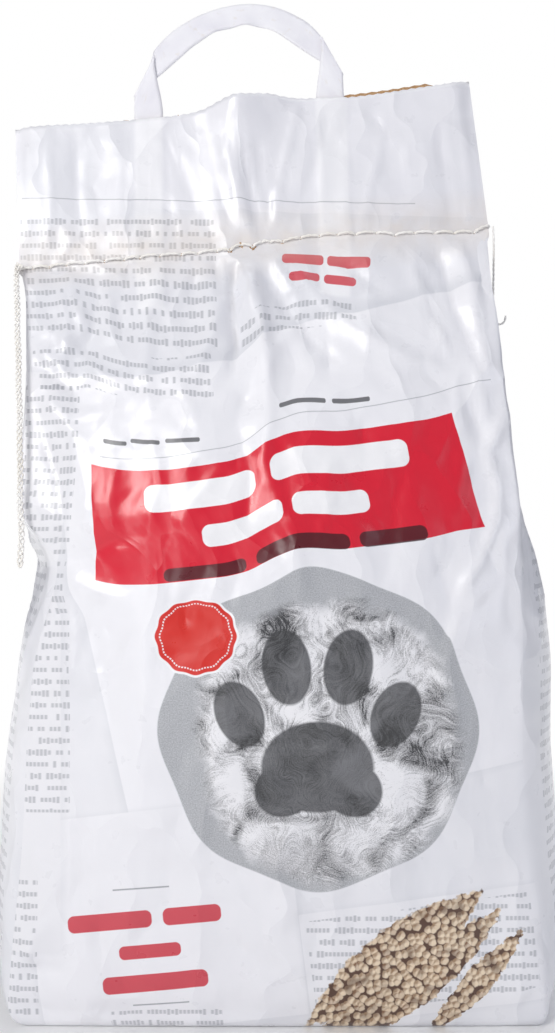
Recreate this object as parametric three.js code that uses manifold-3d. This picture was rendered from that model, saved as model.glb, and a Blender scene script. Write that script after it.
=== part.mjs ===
// Cat litter bag: a filled paper sack with a sewn top, a flat tape handle and loose thread ends.
// Millimetres. +Z is up, the front faces -Y, and the origin is the middle of the flat base.
import * as THREE from 'three';
import { mergeVertices } from 'three/addons/utils/BufferGeometryUtils.js';
import Module from 'manifold-3d';

const wasm = await Module();
wasm.setup();

// Sack: the paper tube is a front and a back panel joined by two gussets
const PANEL_WIDTH = 260;
const GUSSET_WIDTH = 112;
const BASE_EDGE_RADIUS = 4;
const FRONT_BELLY = 23;
const BACK_BELLY = 21;
const GUSSET_BELLY = 24;
const GUSSET_TUCK = 46;

// Top: the panels meet at the seam and stand on above it as a flat flap that leans back
const SEAM_HEIGHT = 399.5;
const SEAM_SHIFT = -13.3;
const FLAP_TILT = THREE.MathUtils.degToRad(4.5);
const FLAP_LEAN = THREE.MathUtils.degToRad(11.5);
const FLAP_THICKNESS = 3.6;
const FLAP_FOOT = 6;
const FLAP_LENGTH = 88;
const MOUTH_SKEW = 8;

// Handle: one flat tape, its legs set between the panels and its bow folded over at both sides
const TAPE_WIDTH = 16.4;
const TAPE_THICKNESS = 1;
const TAPE_LAYER_GAP = 0.3;
const TAPE_FOLD_BAND = 1.4;
const LEG_SPACING = 103.4;
const LEG_SHIFT = -6.3;
const LEG_LEAN = THREE.MathUtils.degToRad(2.9);
const LEG_DEPTH = 25;
const LEG_TAPER_HEIGHT = 82;
const BOW_LIFT = 113;
const BOW_RISE = 44;
const BOW_LEAN_BACK = 3;
const FOLD_RISE = 25;
const FOLD_STEP = 9.5;
const FOLD_INSET = 5;
const SLOT_CLEARANCE = 0.3;

// Closing seam: one row of chain stitches through the flap
const THREAD_DIAMETER = 1.3;
const LINK_DIAMETER = 1.15;
const STITCH_PITCH = 10.4;
const STITCH_COUNT = 24;
const NEEDLE_HOLE_CLEARANCE = 0.35;
const THREAD_REST_GAP = 0.3;
const SEAM_OVERRUN = 2.6;
const THREAD_SIDES = 8;

// Loose thread ends: the long one is a chain of loops, the short one a single thread
const LONG_TAIL_DIAMETER = 3.6;
const SHORT_TAIL_DIAMETER = 1.3;
const TAIL_SIDES = 8;
const TAIL_STEP_DIAMETERS = 2.4;

// Sampling of the curved surfaces, and how square the panels' bulge is
const PANEL_FULLNESS = 2.2;
const PANEL_STEPS = 12;
const GUSSET_STEPS = 8;
const BOW_STEPS = 28;

// How the sack's section changes from base to flap, as shares of the sizes above
const STATIONS = [
  { rise: 0.01, spread: 1.0, depth: 1.0, belly: 0.04, side: 0.1, tuck: 0, shift: 0 },
  { rise: 0.05, spread: 1.0, depth: 0.99, belly: 0.24, side: 0.48, tuck: 0, shift: 0 },
  { rise: 0.12, spread: 0.985, depth: 0.95, belly: 0.5, side: 0.78, tuck: 0, shift: 0 },
  { rise: 0.22, spread: 0.965, depth: 0.89, belly: 0.76, side: 0.94, tuck: 0, shift: 0.03 },
  { rise: 0.34, spread: 0.95, depth: 0.85, belly: 0.93, side: 1, tuck: 0, shift: 0.08 },
  { rise: 0.46, spread: 0.945, depth: 0.83, belly: 1, side: 0.96, tuck: 0, shift: 0.16 },
  { rise: 0.56, spread: 0.95, depth: 0.81, belly: 0.98, side: 0.74, tuck: 0, shift: 0.25 },
  { rise: 0.63, spread: 0.96, depth: 0.77, belly: 0.92, side: 0.32, tuck: 0, shift: 0.31 },
  { rise: 0.69, spread: 0.967, depth: 0.7, belly: 0.84, side: 0, tuck: 0.12, shift: 0.37 },
  { rise: 0.75, spread: 0.97, depth: 0.59, belly: 0.72, side: 0, tuck: 0.36, shift: 0.44 },
  { rise: 0.81, spread: 0.967, depth: 0.45, belly: 0.56, side: 0, tuck: 0.62, shift: 0.52 },
  { rise: 0.87, spread: 0.972, depth: 0.3, belly: 0.38, side: 0, tuck: 0.84, shift: 0.63 },
  { rise: 0.92, spread: 0.979, depth: 0.18, belly: 0.22, side: 0, tuck: 0.96, shift: 0.76 },
  { rise: 0.96, spread: 0.988, depth: 0.08, belly: 0.08, side: 0, tuck: 1, shift: 0.9 },
  { rise: 0.985, spread: 1.0, depth: 0.02, belly: 0.0, side: 0, tuck: 0, shift: 0.97 },
];

// The flap's own frame: across runs along the seam, up runs up the flap, back is its normal
const flapAcross = new THREE.Vector3(Math.cos(FLAP_TILT), 0, Math.sin(FLAP_TILT));
const flapUp = new THREE.Vector3(
  -Math.sin(FLAP_TILT) * Math.cos(FLAP_LEAN),
  Math.sin(FLAP_LEAN),
  Math.cos(FLAP_TILT) * Math.cos(FLAP_LEAN),
);
const flapBack = new THREE.Vector3().crossVectors(flapUp, flapAcross).normalize();
const seamCentre = new THREE.Vector3(SEAM_SHIFT, 0, SEAM_HEIGHT);

function onFlap(across, up, back = 0) {
  return seamCentre.clone()
    .addScaledVector(flapAcross, across)
    .addScaledVector(flapUp, up)
    .addScaledVector(flapBack, back);
}

// The handle stands plumb on the tilted flap, so it has a frame turned a little in the flap's plane
function onHandle(side, lift, back = 0) {
  const across = LEG_SHIFT + side * Math.cos(LEG_LEAN) + lift * Math.sin(LEG_LEAN);
  const up = lift * Math.cos(LEG_LEAN) - side * Math.sin(LEG_LEAN);
  return onFlap(across, up, back);
}

// Closed skin over a row of rings with equal point counts, each end closed by a fan
function loft(rings) {
  const positions = [];
  const indices = [];
  const count = rings[0].length;
  const centreOf = (ring) => ring
    .reduce((sum, point) => sum.add(point), new THREE.Vector3())
    .divideScalar(count);
  rings.forEach((ring) => ring.forEach((point) => positions.push(point.x, point.y, point.z)));
  const first = centreOf(rings[0]);
  const last = centreOf(rings[rings.length - 1]);
  positions.push(first.x, first.y, first.z, last.x, last.y, last.z);
  const firstIndex = rings.length * count;
  const lastIndex = firstIndex + 1;
  for (let ring = 0; ring < rings.length - 1; ring += 1) {
    for (let i = 0; i < count; i += 1) {
      const next = (i + 1) % count;
      const a = ring * count + i;
      const b = ring * count + next;
      indices.push(a, b, b + count, a, b + count, a + count);
    }
  }
  for (let i = 0; i < count; i += 1) {
    const next = (i + 1) % count;
    const top = (rings.length - 1) * count;
    indices.push(firstIndex, next, i, lastIndex, top + i, top + next);
  }
  const geometry = new THREE.BufferGeometry();
  geometry.setAttribute('position', new THREE.Float32BufferAttribute(positions, 3));
  geometry.setIndex(indices);
  return geometry;
}

function toSolid(geometry) {
  const bare = geometry.clone();
  bare.deleteAttribute('normal');
  bare.deleteAttribute('uv');
  const merged = mergeVertices(bare, 1e-4);
  return new wasm.Manifold(new wasm.Mesh({
    numProp: 3,
    vertProperties: new Float32Array(merged.attributes.position.array),
    triVerts: new Uint32Array(merged.index.array),
  }));
}

function toGeometry(solid) {
  const mesh = solid.getMesh();
  const geometry = new THREE.BufferGeometry();
  geometry.setAttribute('position', new THREE.Float32BufferAttribute(mesh.vertProperties, 3));
  geometry.setIndex(Array.from(mesh.triVerts));
  geometry.computeVertexNormals();
  return geometry;
}

// Plate with the given outline, from one depth to another behind the flap's mid-plane
function plate(outline, frontDepth, backDepth, place) {
  const front = outline.map(([side, lift]) => place(side, lift, frontDepth));
  const back = outline.map(([side, lift]) => place(side, lift, backDepth));
  return loft([front, back]);
}

// Cylinder between two points
function rod(from, to, diameter, sides) {
  const length = from.distanceTo(to);
  const geometry = new THREE.CylinderGeometry(diameter / 2, diameter / 2, length, sides);
  const direction = to.clone().sub(from).normalize();
  const turn = new THREE.Quaternion().setFromUnitVectors(new THREE.Vector3(0, 1, 0), direction);
  geometry.applyQuaternion(turn);
  const middle = from.clone().add(to).multiplyScalar(0.5);
  geometry.translate(middle.x, middle.y, middle.z);
  return geometry;
}

const arch = (t) => 1 - Math.abs(2 * t - 1) ** PANEL_FULLNESS;
const fold = (t) => 1 - Math.abs(2 * t - 1);

// One ring of the sack: front panel, right gusset, back panel, left gusset
function sackRing(centre, across, back, size) {
  const ring = [];
  const add = (x, y) => ring.push(
    centre.clone().addScaledVector(across, x).addScaledVector(back, y),
  );
  for (let i = 0; i < PANEL_STEPS; i += 1) {
    const t = i / PANEL_STEPS;
    add(size.halfWidth * (2 * t - 1), -size.halfDepth - size.frontBelly * arch(t));
  }
  for (let i = 0; i < GUSSET_STEPS; i += 1) {
    const t = i / GUSSET_STEPS;
    const out = size.gussetBelly * arch(t) - size.tuck * fold(t);
    add(size.halfWidth + out, size.halfDepth * (2 * t - 1));
  }
  for (let i = 0; i < PANEL_STEPS; i += 1) {
    const t = i / PANEL_STEPS;
    add(size.halfWidth * (1 - 2 * t), size.halfDepth + size.backBelly * arch(t));
  }
  for (let i = 0; i < GUSSET_STEPS; i += 1) {
    const t = i / GUSSET_STEPS;
    const out = size.gussetBelly * arch(t) - size.tuck * fold(t);
    add(-size.halfWidth - out, size.halfDepth * (1 - 2 * t));
  }
  return ring;
}

const flapHalf = FLAP_THICKNESS / 2;
const flatSection = {
  halfWidth: PANEL_WIDTH / 2,
  halfDepth: flapHalf,
  frontBelly: 0,
  backBelly: 0,
  gussetBelly: 0,
  tuck: 0,
};

function sackBody() {
  const foot = onFlap(0, -FLAP_FOOT);
  const upright = new THREE.Vector3(0, 1, 0);
  const level = new THREE.Vector3(1, 0, 0);
  const baseSection = {
    ...flatSection,
    halfWidth: PANEL_WIDTH / 2 - BASE_EDGE_RADIUS,
    halfDepth: GUSSET_WIDTH / 2 - BASE_EDGE_RADIUS,
  };
  const rings = [sackRing(new THREE.Vector3(), level, upright, baseSection)];
  STATIONS.forEach((station) => {
    const turn = station.shift ** 2;
    const centre = new THREE.Vector3(
      foot.x * station.shift,
      foot.y * turn,
      foot.z * station.rise,
    );
    const across = level.clone().lerp(flapAcross, turn).normalize();
    const back = upright.clone().lerp(flapBack, turn ** 2).normalize();
    rings.push(sackRing(centre, across, back, {
      halfWidth: PANEL_WIDTH / 2 * station.spread,
      halfDepth: flapHalf + (GUSSET_WIDTH / 2 - flapHalf) * station.depth,
      frontBelly: FRONT_BELLY * station.belly,
      backBelly: BACK_BELLY * station.belly,
      gussetBelly: GUSSET_BELLY * station.side,
      tuck: GUSSET_TUCK * station.tuck,
    }));
  });
  rings.push(sackRing(foot, flapAcross, flapBack, flatSection));
  const mouth = sackRing(onFlap(0, FLAP_LENGTH), flapAcross, flapBack, flatSection);
  mouth.forEach((point) => {
    const side = point.clone().sub(seamCentre).dot(flapAcross) / PANEL_WIDTH;
    point.addScaledVector(flapUp, side * MOUTH_SKEW);
  });
  rings.push(mouth);
  return loft(rings);
}

// Handle outlines, written in the handle's own frame as side and lift
const legInner = LEG_SPACING / 2 - TAPE_WIDTH / 2;
const legOuter = LEG_SPACING / 2 + TAPE_WIDTH / 2;

// The diagonal fold on one side runs from the leg's outer edge up and inwards; the right one is higher
function foldEnds(side) {
  const middle = BOW_LIFT + side * FOLD_STEP / 2;
  return {
    low: new THREE.Vector2(side * legOuter, middle - FOLD_RISE / 2),
    high: new THREE.Vector2(side * (legInner + FOLD_INSET), middle + FOLD_RISE / 2),
  };
}

function legOutline(side) {
  const { low, high } = foldEnds(side);
  const outline = [
    [side * legOuter, -LEG_DEPTH],
    [side * legInner, -LEG_DEPTH],
    [side * legInner, LEG_TAPER_HEIGHT],
    high.toArray(),
    low.toArray(),
  ];
  return side < 0 ? outline.reverse() : outline;
}

// Narrow band along the diagonal fold, through both layers of the tape
function foldOutline(side) {
  const { low, high } = foldEnds(side);
  const along = high.clone().sub(low).normalize();
  const inward = new THREE.Vector2(-side * along.y, -Math.abs(along.x));
  inward.multiplyScalar(TAPE_FOLD_BAND);
  const corners = [low, low.clone().add(inward), high.clone().add(inward), high];
  const outline = corners.map((corner) => corner.toArray());
  return side < 0 ? outline.reverse() : outline;
}

// The bow's outer edge, from the left fold to the right, as shares of the leg spacing and the rise
const BOW_SHAPE = [
  [-0.93, 0.32], [-0.72, 0.61], [-0.39, 0.87], [0.04, 1], [0.41, 0.93], [0.72, 0.72], [0.89, 0.5],
];
const BOW_FOLD_SHARE = 0.14;

function bowEdge() {
  const shape = BOW_SHAPE.map(([side, rise]) => new THREE.Vector2(
    side * LEG_SPACING / 2,
    BOW_LIFT + rise * BOW_RISE,
  ));
  return new THREE.SplineCurve([foldEnds(-1).high, ...shape, foldEnds(1).high]);
}

// Ends of one cross-section of the bow, which turns in to the diagonal folds at both ends
function bowSection(edge, t) {
  const outer = edge.getPoint(t);
  const along = edge.getTangent(t);
  const inner = outer.clone().add(new THREE.Vector2(along.y, -along.x).multiplyScalar(TAPE_WIDTH));
  const foldEnd = foldEnds(t < 0.5 ? -1 : 1).low;
  const free = THREE.MathUtils.smoothstep(Math.min(t, 1 - t), 0, BOW_FOLD_SHARE);
  return { outer, inner: foldEnd.clone().lerp(inner, free) };
}

function handleTape() {
  const frontDepth = -TAPE_THICKNESS / 2;
  const bowDepth = TAPE_THICKNESS / 2 + TAPE_LAYER_GAP;
  const bowBack = bowDepth + TAPE_THICKNESS;
  const edge = bowEdge();
  const rings = [];
  for (let i = 0; i <= BOW_STEPS; i += 1) {
    const t = i / BOW_STEPS;
    const { outer, inner } = bowSection(edge, t);
    const lean = BOW_LEAN_BACK * Math.sin(Math.PI * t);
    rings.push([
      onHandle(inner.x, inner.y, bowDepth),
      onHandle(inner.x, inner.y, bowBack),
      onHandle(outer.x, outer.y, bowBack + lean),
      onHandle(outer.x, outer.y, bowDepth + lean),
    ]);
  }
  let tape = toSolid(loft(rings));
  [-1, 1].forEach((side) => {
    tape = tape.add(toSolid(plate(legOutline(side), frontDepth, -frontDepth, onHandle)));
    tape = tape.add(toSolid(plate(foldOutline(side), frontDepth, bowBack, onHandle)));
  });
  return tape;
}

// Slots that hold the handle's legs between the front and back paper
function legSlot(side) {
  const inner = side * (legInner - SLOT_CLEARANCE);
  const outer = side * (legOuter + SLOT_CLEARANCE);
  const bottom = -LEG_DEPTH - SLOT_CLEARANCE;
  const top = FLAP_LENGTH + MOUTH_SKEW + LEG_DEPTH;
  const depth = TAPE_THICKNESS / 2 + SLOT_CLEARANCE;
  const outline = [[outer, bottom], [inner, bottom], [inner, top], [outer, top]];
  return toSolid(plate(side < 0 ? outline.reverse() : outline, -depth, depth, onHandle));
}

const holeAcross = Array.from(
  { length: STITCH_COUNT + 1 },
  (_, i) => (i - STITCH_COUNT / 2) * STITCH_PITCH,
);
const threadDepth = flapHalf + THREAD_REST_GAP + THREAD_DIAMETER / 2;
const holeDiameter = THREAD_DIAMETER + 2 * NEEDLE_HOLE_CLEARANCE;

function needleHoles() {
  const reach = threadDepth + THREAD_DIAMETER;
  return holeAcross.map((across) => toSolid(rod(
    onFlap(across, 0, -reach),
    onFlap(across, 0, reach),
    holeDiameter,
    THREAD_SIDES,
  )));
}

// Closing thread: a run along the front, a run along the back and a link through each hole
function seamThread() {
  const end = PANEL_WIDTH / 2 + SEAM_OVERRUN;
  let thread = toSolid(rod(
    onFlap(-end, 0, -threadDepth),
    onFlap(end, 0, -threadDepth),
    THREAD_DIAMETER,
    THREAD_SIDES,
  ));
  const backEnd = holeAcross[holeAcross.length - 1] + THREAD_DIAMETER;
  thread = thread.add(toSolid(rod(
    onFlap(-backEnd, 0, threadDepth),
    onFlap(backEnd, 0, threadDepth),
    THREAD_DIAMETER,
    THREAD_SIDES,
  )));
  holeAcross.forEach((across) => {
    thread = thread.add(toSolid(rod(
      onFlap(across, 0, -threadDepth),
      onFlap(across, 0, threadDepth),
      LINK_DIAMETER,
      THREAD_SIDES,
    )));
  });
  return thread;
}

// Tube along a smooth route of hand-chosen points
function tube(points, diameter) {
  const route = new THREE.CatmullRomCurve3(points.map((point) => new THREE.Vector3(...point)));
  const section = new THREE.Shape();
  section.absarc(0, 0, diameter / 2, 0, Math.PI * 2);
  return new THREE.ExtrudeGeometry(section, {
    curveSegments: TAIL_SIDES,
    steps: Math.ceil(route.getLength() / (TAIL_STEP_DIAMETERS * diameter)),
    bevelEnabled: false,
    extrudePath: route,
  });
}

// The long tail drops from the seam's left end, down in front of the shoulder's fold
const LONG_TAIL_ROUTE = [
  [-142.5, -4.2, 389.1],
  [-142.2, -6.0, 384.0],
  [-141.4, -9.0, 378.0],
  [-140.2, -13.0, 370.0],
  [-139.0, -16.8, 361.0],
  [-137.7, -20.6, 351.0],
  [-136.4, -24.4, 341.0],
  [-135.0, -28.6, 330.0],
  [-133.7, -32.6, 319.0],
  [-132.3, -36.8, 307.0],
  [-130.9, -40.8, 295.0],
  [-129.8, -44.4, 283.0],
  [-129.0, -47.0, 271.0],
  [-128.4, -48.8, 259.0],
  [-127.8, -49.8, 247.0],
  [-127.6, -50.2, 236.0],
  [-128.0, -50.3, 224.5],
];

// The short tail drops behind the right edge and curls out at its end
const SHORT_TAIL_ROUTE = [
  [118.3, -2.7, 409.4],
  [118.6, -2.4, 406.0],
  [118.9, -1.7, 403.6],
  [119.2, -0.8, 401.0],
  [119.5, 0.4, 398.0],
  [119.8, 1.6, 395.0],
  [120.0, 2.7, 391.6],
  [120.2, 3.8, 388.0],
  [120.4, 4.6, 384.0],
  [120.4, 5.2, 380.0],
  [120.5, 5.7, 376.0],
  [120.5, 6.0, 372.0],
  [120.6, 6.2, 368.0],
  [120.8, 6.3, 364.5],
  [120.9, 6.2, 361.8],
  [121.0, 6.0, 360.0],
  [121.4, 5.8, 358.6],
  [122.4, 5.5, 357.5],
  [123.8, 5.1, 357.1],
  [125.2, 4.6, 357.5],
  [126.3, 4.1, 358.6],
  [126.7, 3.7, 360.0],
  [126.8, 3.3, 361.6],
];

function mesh(name, geometry, color, roughness) {
  const material = new THREE.MeshStandardMaterial({ color, roughness, metalness: 0 });
  const result = new THREE.Mesh(geometry, material);
  result.name = name;
  return result;
}

let sack = toSolid(sackBody());
let handle = handleTape();
[-1, 1].forEach((side) => {
  sack = sack.subtract(legSlot(side));
});
needleHoles().forEach((hole) => {
  sack = sack.subtract(hole);
  handle = handle.subtract(hole);
});

const bag = new THREE.Group();
bag.add(mesh('filled_sack', toGeometry(sack), 0xe9e9ee, 0.45));
bag.add(mesh('carry_handle', toGeometry(handle), 0xe4e4ec, 0.55));
bag.add(mesh('closing_thread', toGeometry(seamThread()), 0xeee8dc, 0.85));
bag.add(mesh('thread_tail_long', tube(LONG_TAIL_ROUTE, LONG_TAIL_DIAMETER), 0xf0ede6, 0.85));
bag.add(mesh('thread_tail_short', tube(SHORT_TAIL_ROUTE, SHORT_TAIL_DIAMETER), 0xf0ede6, 0.85));

export default bag;
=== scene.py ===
# Cat litter bag: a filled paper sack with a sewn top, a flat tape handle and loose thread ends.
# Shapes are worked out in millimetres and turned to metres where a mesh is made.
# +Z is up, the printed front faces -Y, and the origin is the middle of the flat base.

import math

import bpy
import numpy as np
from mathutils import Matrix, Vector


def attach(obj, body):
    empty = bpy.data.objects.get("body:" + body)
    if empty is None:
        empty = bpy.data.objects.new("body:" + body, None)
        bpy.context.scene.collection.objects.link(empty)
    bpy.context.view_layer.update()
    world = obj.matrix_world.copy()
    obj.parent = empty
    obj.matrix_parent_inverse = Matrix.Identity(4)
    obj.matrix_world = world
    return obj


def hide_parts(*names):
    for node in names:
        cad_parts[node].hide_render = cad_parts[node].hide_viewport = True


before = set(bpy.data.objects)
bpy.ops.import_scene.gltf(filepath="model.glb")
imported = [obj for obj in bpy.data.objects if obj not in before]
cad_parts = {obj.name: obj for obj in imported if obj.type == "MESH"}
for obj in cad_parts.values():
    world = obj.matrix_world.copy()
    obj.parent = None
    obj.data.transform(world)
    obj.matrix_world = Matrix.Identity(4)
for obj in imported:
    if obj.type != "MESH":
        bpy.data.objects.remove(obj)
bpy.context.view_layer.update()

MM = 0.001


# Small helpers

def linear(hex_code):
    """Linear colour from an sRGB hex code."""
    channels = [int(hex_code[i:i + 2], 16) / 255 for i in (1, 3, 5)]
    return tuple(c / 12.92 if c <= 0.04045 else ((c + 0.055) / 1.055) ** 2.4 for c in channels) + (1,)


def add_node(tree, kind, sockets=None, out=0, **settings):
    """Adds a shader node, sets it, fills or links its inputs, and gives one of its outputs."""
    made = tree.nodes.new("ShaderNode" + kind)
    for name, value in settings.items():
        setattr(made, name, value)
    for name, value in (sockets or {}).items():
        if isinstance(value, bpy.types.NodeSocket):
            tree.links.new(value, made.inputs[name])
        else:
            made.inputs[name].default_value = value
    return made if out is None else made.outputs[out]


def new_material(name):
    """An empty material and its node tree."""
    material = bpy.data.materials.new(name)
    material.use_nodes = True
    material.node_tree.nodes.clear()
    return material, material.node_tree


def smooth_through(x, table):
    """Value at x of a smooth curve through the table's (place, value) pairs, without overshoot."""
    places, values = np.array(table, float).T
    steps = np.diff(places)
    slopes = np.diff(values) / steps
    before = np.concatenate(([slopes[0]], slopes))
    after = np.concatenate((slopes, [slopes[-1]]))
    same = before * after > 0
    lean = np.where(same, 2 * before * after / np.where(same, before + after, 1), 0)
    x = np.clip(x, places[0], places[-1])
    i = np.clip(np.searchsorted(places, x, side="right") - 1, 0, len(steps) - 1)
    t = (x - places[i]) / steps[i]
    start = (1 + 2 * t) * (1 - t) ** 2 * values[i] + t * (1 - t) ** 2 * steps[i] * lean[i]
    end = t * t * (3 - 2 * t) * values[i + 1] + t * t * (t - 1) * steps[i] * lean[i + 1]
    return start + end


def ease(x):
    """Smooth step from 0 to 1."""
    x = np.clip(x, 0, 1)
    return x * x * (3 - 2 * x)


def route_through(points, count):
    """Evenly spaced points on a smooth curve through given ones."""
    points = np.array(points, float)
    walked = np.concatenate(([0], np.cumsum(np.linalg.norm(np.diff(points, axis=0), axis=1))))
    padded = np.vstack((2 * points[0] - points[1], points, 2 * points[-1] - points[-2]))
    at = np.linspace(0, walked[-1], count)
    i = np.clip(np.searchsorted(walked, at, side="right") - 1, 0, len(points) - 2)
    t = ((at - walked[i]) / (walked[i + 1] - walked[i]))[:, None]
    a, b, c, d = (padded[i + k] for k in range(4))
    return 0.5 * (2 * b + (c - a) * t + (2 * a - 5 * b + 4 * c - d) * t ** 2
                  + (3 * b - a - 3 * c + d) * t ** 3)


def unit(vectors):
    """Vectors of length one."""
    return vectors / np.maximum(np.linalg.norm(vectors, axis=-1, keepdims=True), 1e-9)


def make_piece(name, points, faces, materials, face_material=None, maps=None):
    """A mesh piece from points in millimetres, riding on the bag; maps holds UVs for each corner."""
    mesh = bpy.data.meshes.new(name)
    mesh.from_pydata((np.asarray(points, float) * MM).tolist(), [], [list(map(int, f)) for f in faces])
    for material in materials:
        mesh.materials.append(material)
    if face_material is not None:
        mesh.polygons.foreach_set("material_index", np.asarray(face_material, np.int32))
    mesh.polygons.foreach_set("use_smooth", [True] * len(mesh.polygons))
    for map_name, corners in (maps or {}).items():
        layer = mesh.uv_layers.new(name=map_name)
        layer.data.foreach_set("uv", (np.asarray(corners, float) * MM).ravel())
    mesh.update()
    made = bpy.data.objects.new(name, mesh)
    bpy.context.scene.collection.objects.link(made)
    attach(made, "root")
    return made


PLIES = 2
PLY_SWELL = 0.22


def thread_tube(route, radius, sides=10, twist=3.2):
    """Points and faces of a two-ply thread along a route, with a closed cap at both ends."""
    route = np.asarray(route, float)
    along = unit(np.gradient(route, axis=0))
    side = np.zeros_like(route)
    side[0] = unit(np.cross(along[0], [0.13, 0.31, 0.94]))
    for i in range(1, len(route)):
        side[i] = unit(side[i - 1] - along[i] * np.dot(side[i - 1], along[i]))
    other = np.cross(along, side)
    walked = np.concatenate(([0], np.cumsum(np.linalg.norm(np.diff(route, axis=0), axis=1))))
    turn = np.linspace(0, 2 * np.pi, sides, endpoint=False)
    phase = turn[None, :] - 2 * np.pi * walked[:, None] / (PLIES * twist)
    wave = 1 + PLY_SWELL * np.cos(PLIES * phase)
    reach = radius * wave / (1 + PLY_SWELL)
    ring = (route[:, None, :] + side[:, None, :] * (np.cos(turn) * reach)[..., None]
            + other[:, None, :] * (np.sin(turn) * reach)[..., None])
    points = ring.reshape(-1, 3)
    faces = []
    for i in range(len(route) - 1):
        for j in range(sides):
            k = (j + 1) % sides
            faces.append((i * sides + j, i * sides + k, (i + 1) * sides + k, (i + 1) * sides + j))
    faces.append(tuple(range(sides))[::-1])
    faces.append(tuple(range((len(route) - 1) * sides, len(route) * sides)))
    return points, faces


def join_parts(parts):
    """One list of points and faces from several."""
    points = []
    faces = []
    count = 0
    for part_points, part_faces in parts:
        points.append(part_points)
        faces.extend(tuple(int(i) + count for i in face) for face in part_faces)
        count += len(part_points)
    return np.vstack(points), faces


# Camera, level with the middle of the sack, as far off as the picture's perspective says

CAMERA_PLACE = (0, -508, 250)
PICTURE_HEIGHT = 1033
FOCAL_PIXELS = 920

camera_data = bpy.data.cameras.new("front_camera")
camera_data.sensor_fit = "VERTICAL"
camera_data.sensor_height = 36
camera_data.lens = 36 * FOCAL_PIXELS / PICTURE_HEIGHT
camera_data.clip_start = 0.01
camera_data.clip_end = 20
camera = bpy.data.objects.new("front_camera", camera_data)
camera.location = Vector(CAMERA_PLACE) * MM
camera.rotation_euler = (math.radians(90), 0, 0)
bpy.context.scene.collection.objects.link(camera)
bpy.context.scene.camera = camera


# Closing thread's material and the two loose ends

def cotton_thread():
    """Twisted cotton sewing thread, undyed: matt off-white with faint darker grooves and soft fuzz."""
    material, tree = new_material("undyed_twisted_cotton_thread")
    place = add_node(tree, "TexCoord", out=3)
    # fibres are 0.02 mm wide, drawn at 0.25 mm so that they show
    fibres = add_node(tree, "TexNoise", {"Vector": place, "Scale": 4000, "Detail": 2})
    yellowing = add_node(tree, "TexNoise", {"Vector": place, "Scale": 60, "Detail": 2})
    tint = add_node(tree, "MapRange", {"Value": yellowing, 1: 0.35, 2: 0.7})
    colour = add_node(tree, "Mix", {0: tint, 6: linear("#faf8f4"), 7: linear("#f1ede4")},
                      out=2, data_type="RGBA")
    relief = add_node(tree, "Bump", {"Height": fibres, "Strength": 0.35, "Distance": 0.0002})
    shader = add_node(tree, "BsdfPrincipled", {
        "Base Color": colour, "Roughness": 0.85, "IOR": 1.53, "Normal": relief,
        "Sheen Weight": 0.25, "Sheen Roughness": 0.5})
    add_node(tree, "OutputMaterial", {"Surface": shader}, out=None)
    return material


COTTON = cotton_thread()

LONG_TAIL_STEPS = 420
CHAIN_PITCH = 11
CHAIN_SPREAD = 1.25
CHAIN_THREAD_RADIUS = 0.52
LONG_TAIL_ROUTE = [
    (-142.5, -4.2, 389.1), (-142.2, -6.0, 384.0), (-141.4, -9.0, 378.0), (-140.2, -13.0, 370.0),
    (-139.0, -16.8, 361.0), (-137.7, -20.6, 351.0), (-136.4, -24.4, 341.0), (-135.0, -28.6, 330.0),
    (-133.7, -32.6, 319.0), (-132.3, -36.8, 307.0), (-130.9, -40.8, 295.0), (-129.8, -44.4, 283.0),
    (-129.0, -47.0, 271.0), (-128.4, -48.8, 259.0), (-127.8, -49.8, 247.0), (-127.6, -50.2, 236.0),
    (-128.0, -50.3, 224.5),
]
SHORT_TAIL_DIAMETER = 1.3
SHORT_TAIL_STEPS = 150
SHORT_TAIL_ROUTE = [
    (118.3, -2.7, 409.4), (118.6, -2.4, 406.0), (118.9, -1.7, 403.6), (119.2, -0.8, 401.0),
    (119.5, 0.4, 398.0), (119.8, 1.6, 395.0), (120.0, 2.7, 391.6), (120.2, 3.8, 388.0),
    (120.4, 4.6, 384.0), (120.4, 5.2, 380.0), (120.5, 5.7, 376.0), (120.5, 6.0, 372.0),
    (120.6, 6.2, 368.0), (120.8, 6.3, 364.5), (120.9, 6.2, 361.8), (121.0, 6.0, 360.0),
    (121.4, 5.8, 358.6), (122.4, 5.5, 357.5), (123.8, 5.1, 357.1), (125.2, 4.6, 357.5),
    (126.3, 4.1, 358.6), (126.7, 3.7, 360.0), (126.8, 3.3, 361.6),
]


def chain_of_loops(route, pitch, spread, radius):
    """Three strands that cross each other as the loops of a chain stitch do."""
    route = np.asarray(route, float)
    along = unit(np.gradient(route, axis=0))
    side = unit(np.cross(along, [0, 1, 0.2]))
    out = np.cross(side, along)
    walked = np.concatenate(([0], np.cumsum(np.linalg.norm(np.diff(route, axis=0), axis=1))))
    ends = ease(walked / 3) * ease((walked[-1] - walked) / 2 + 0.25)
    strands = []
    for k in range(3):
        phase = 2 * np.pi * (walked / pitch + k / 3)
        uneven = 1 + 0.18 * np.sin(walked * 0.37 + 2 * k)
        sway = (np.sin(phase) * spread * uneven * ends)[:, None]
        lift = (np.sin(2 * phase) * spread * 0.42 * ends)[:, None]
        strands.append(thread_tube(route + side * sway + out * lift, radius, sides=8, twist=2.2))
    return join_parts(strands)


long_route = route_through(LONG_TAIL_ROUTE, LONG_TAIL_STEPS)
long_points, long_faces = chain_of_loops(long_route, CHAIN_PITCH, CHAIN_SPREAD, CHAIN_THREAD_RADIUS)
long_tail = make_piece("thread_tail_long_chain", long_points, long_faces, [COTTON])
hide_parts("thread_tail_long")

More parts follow.
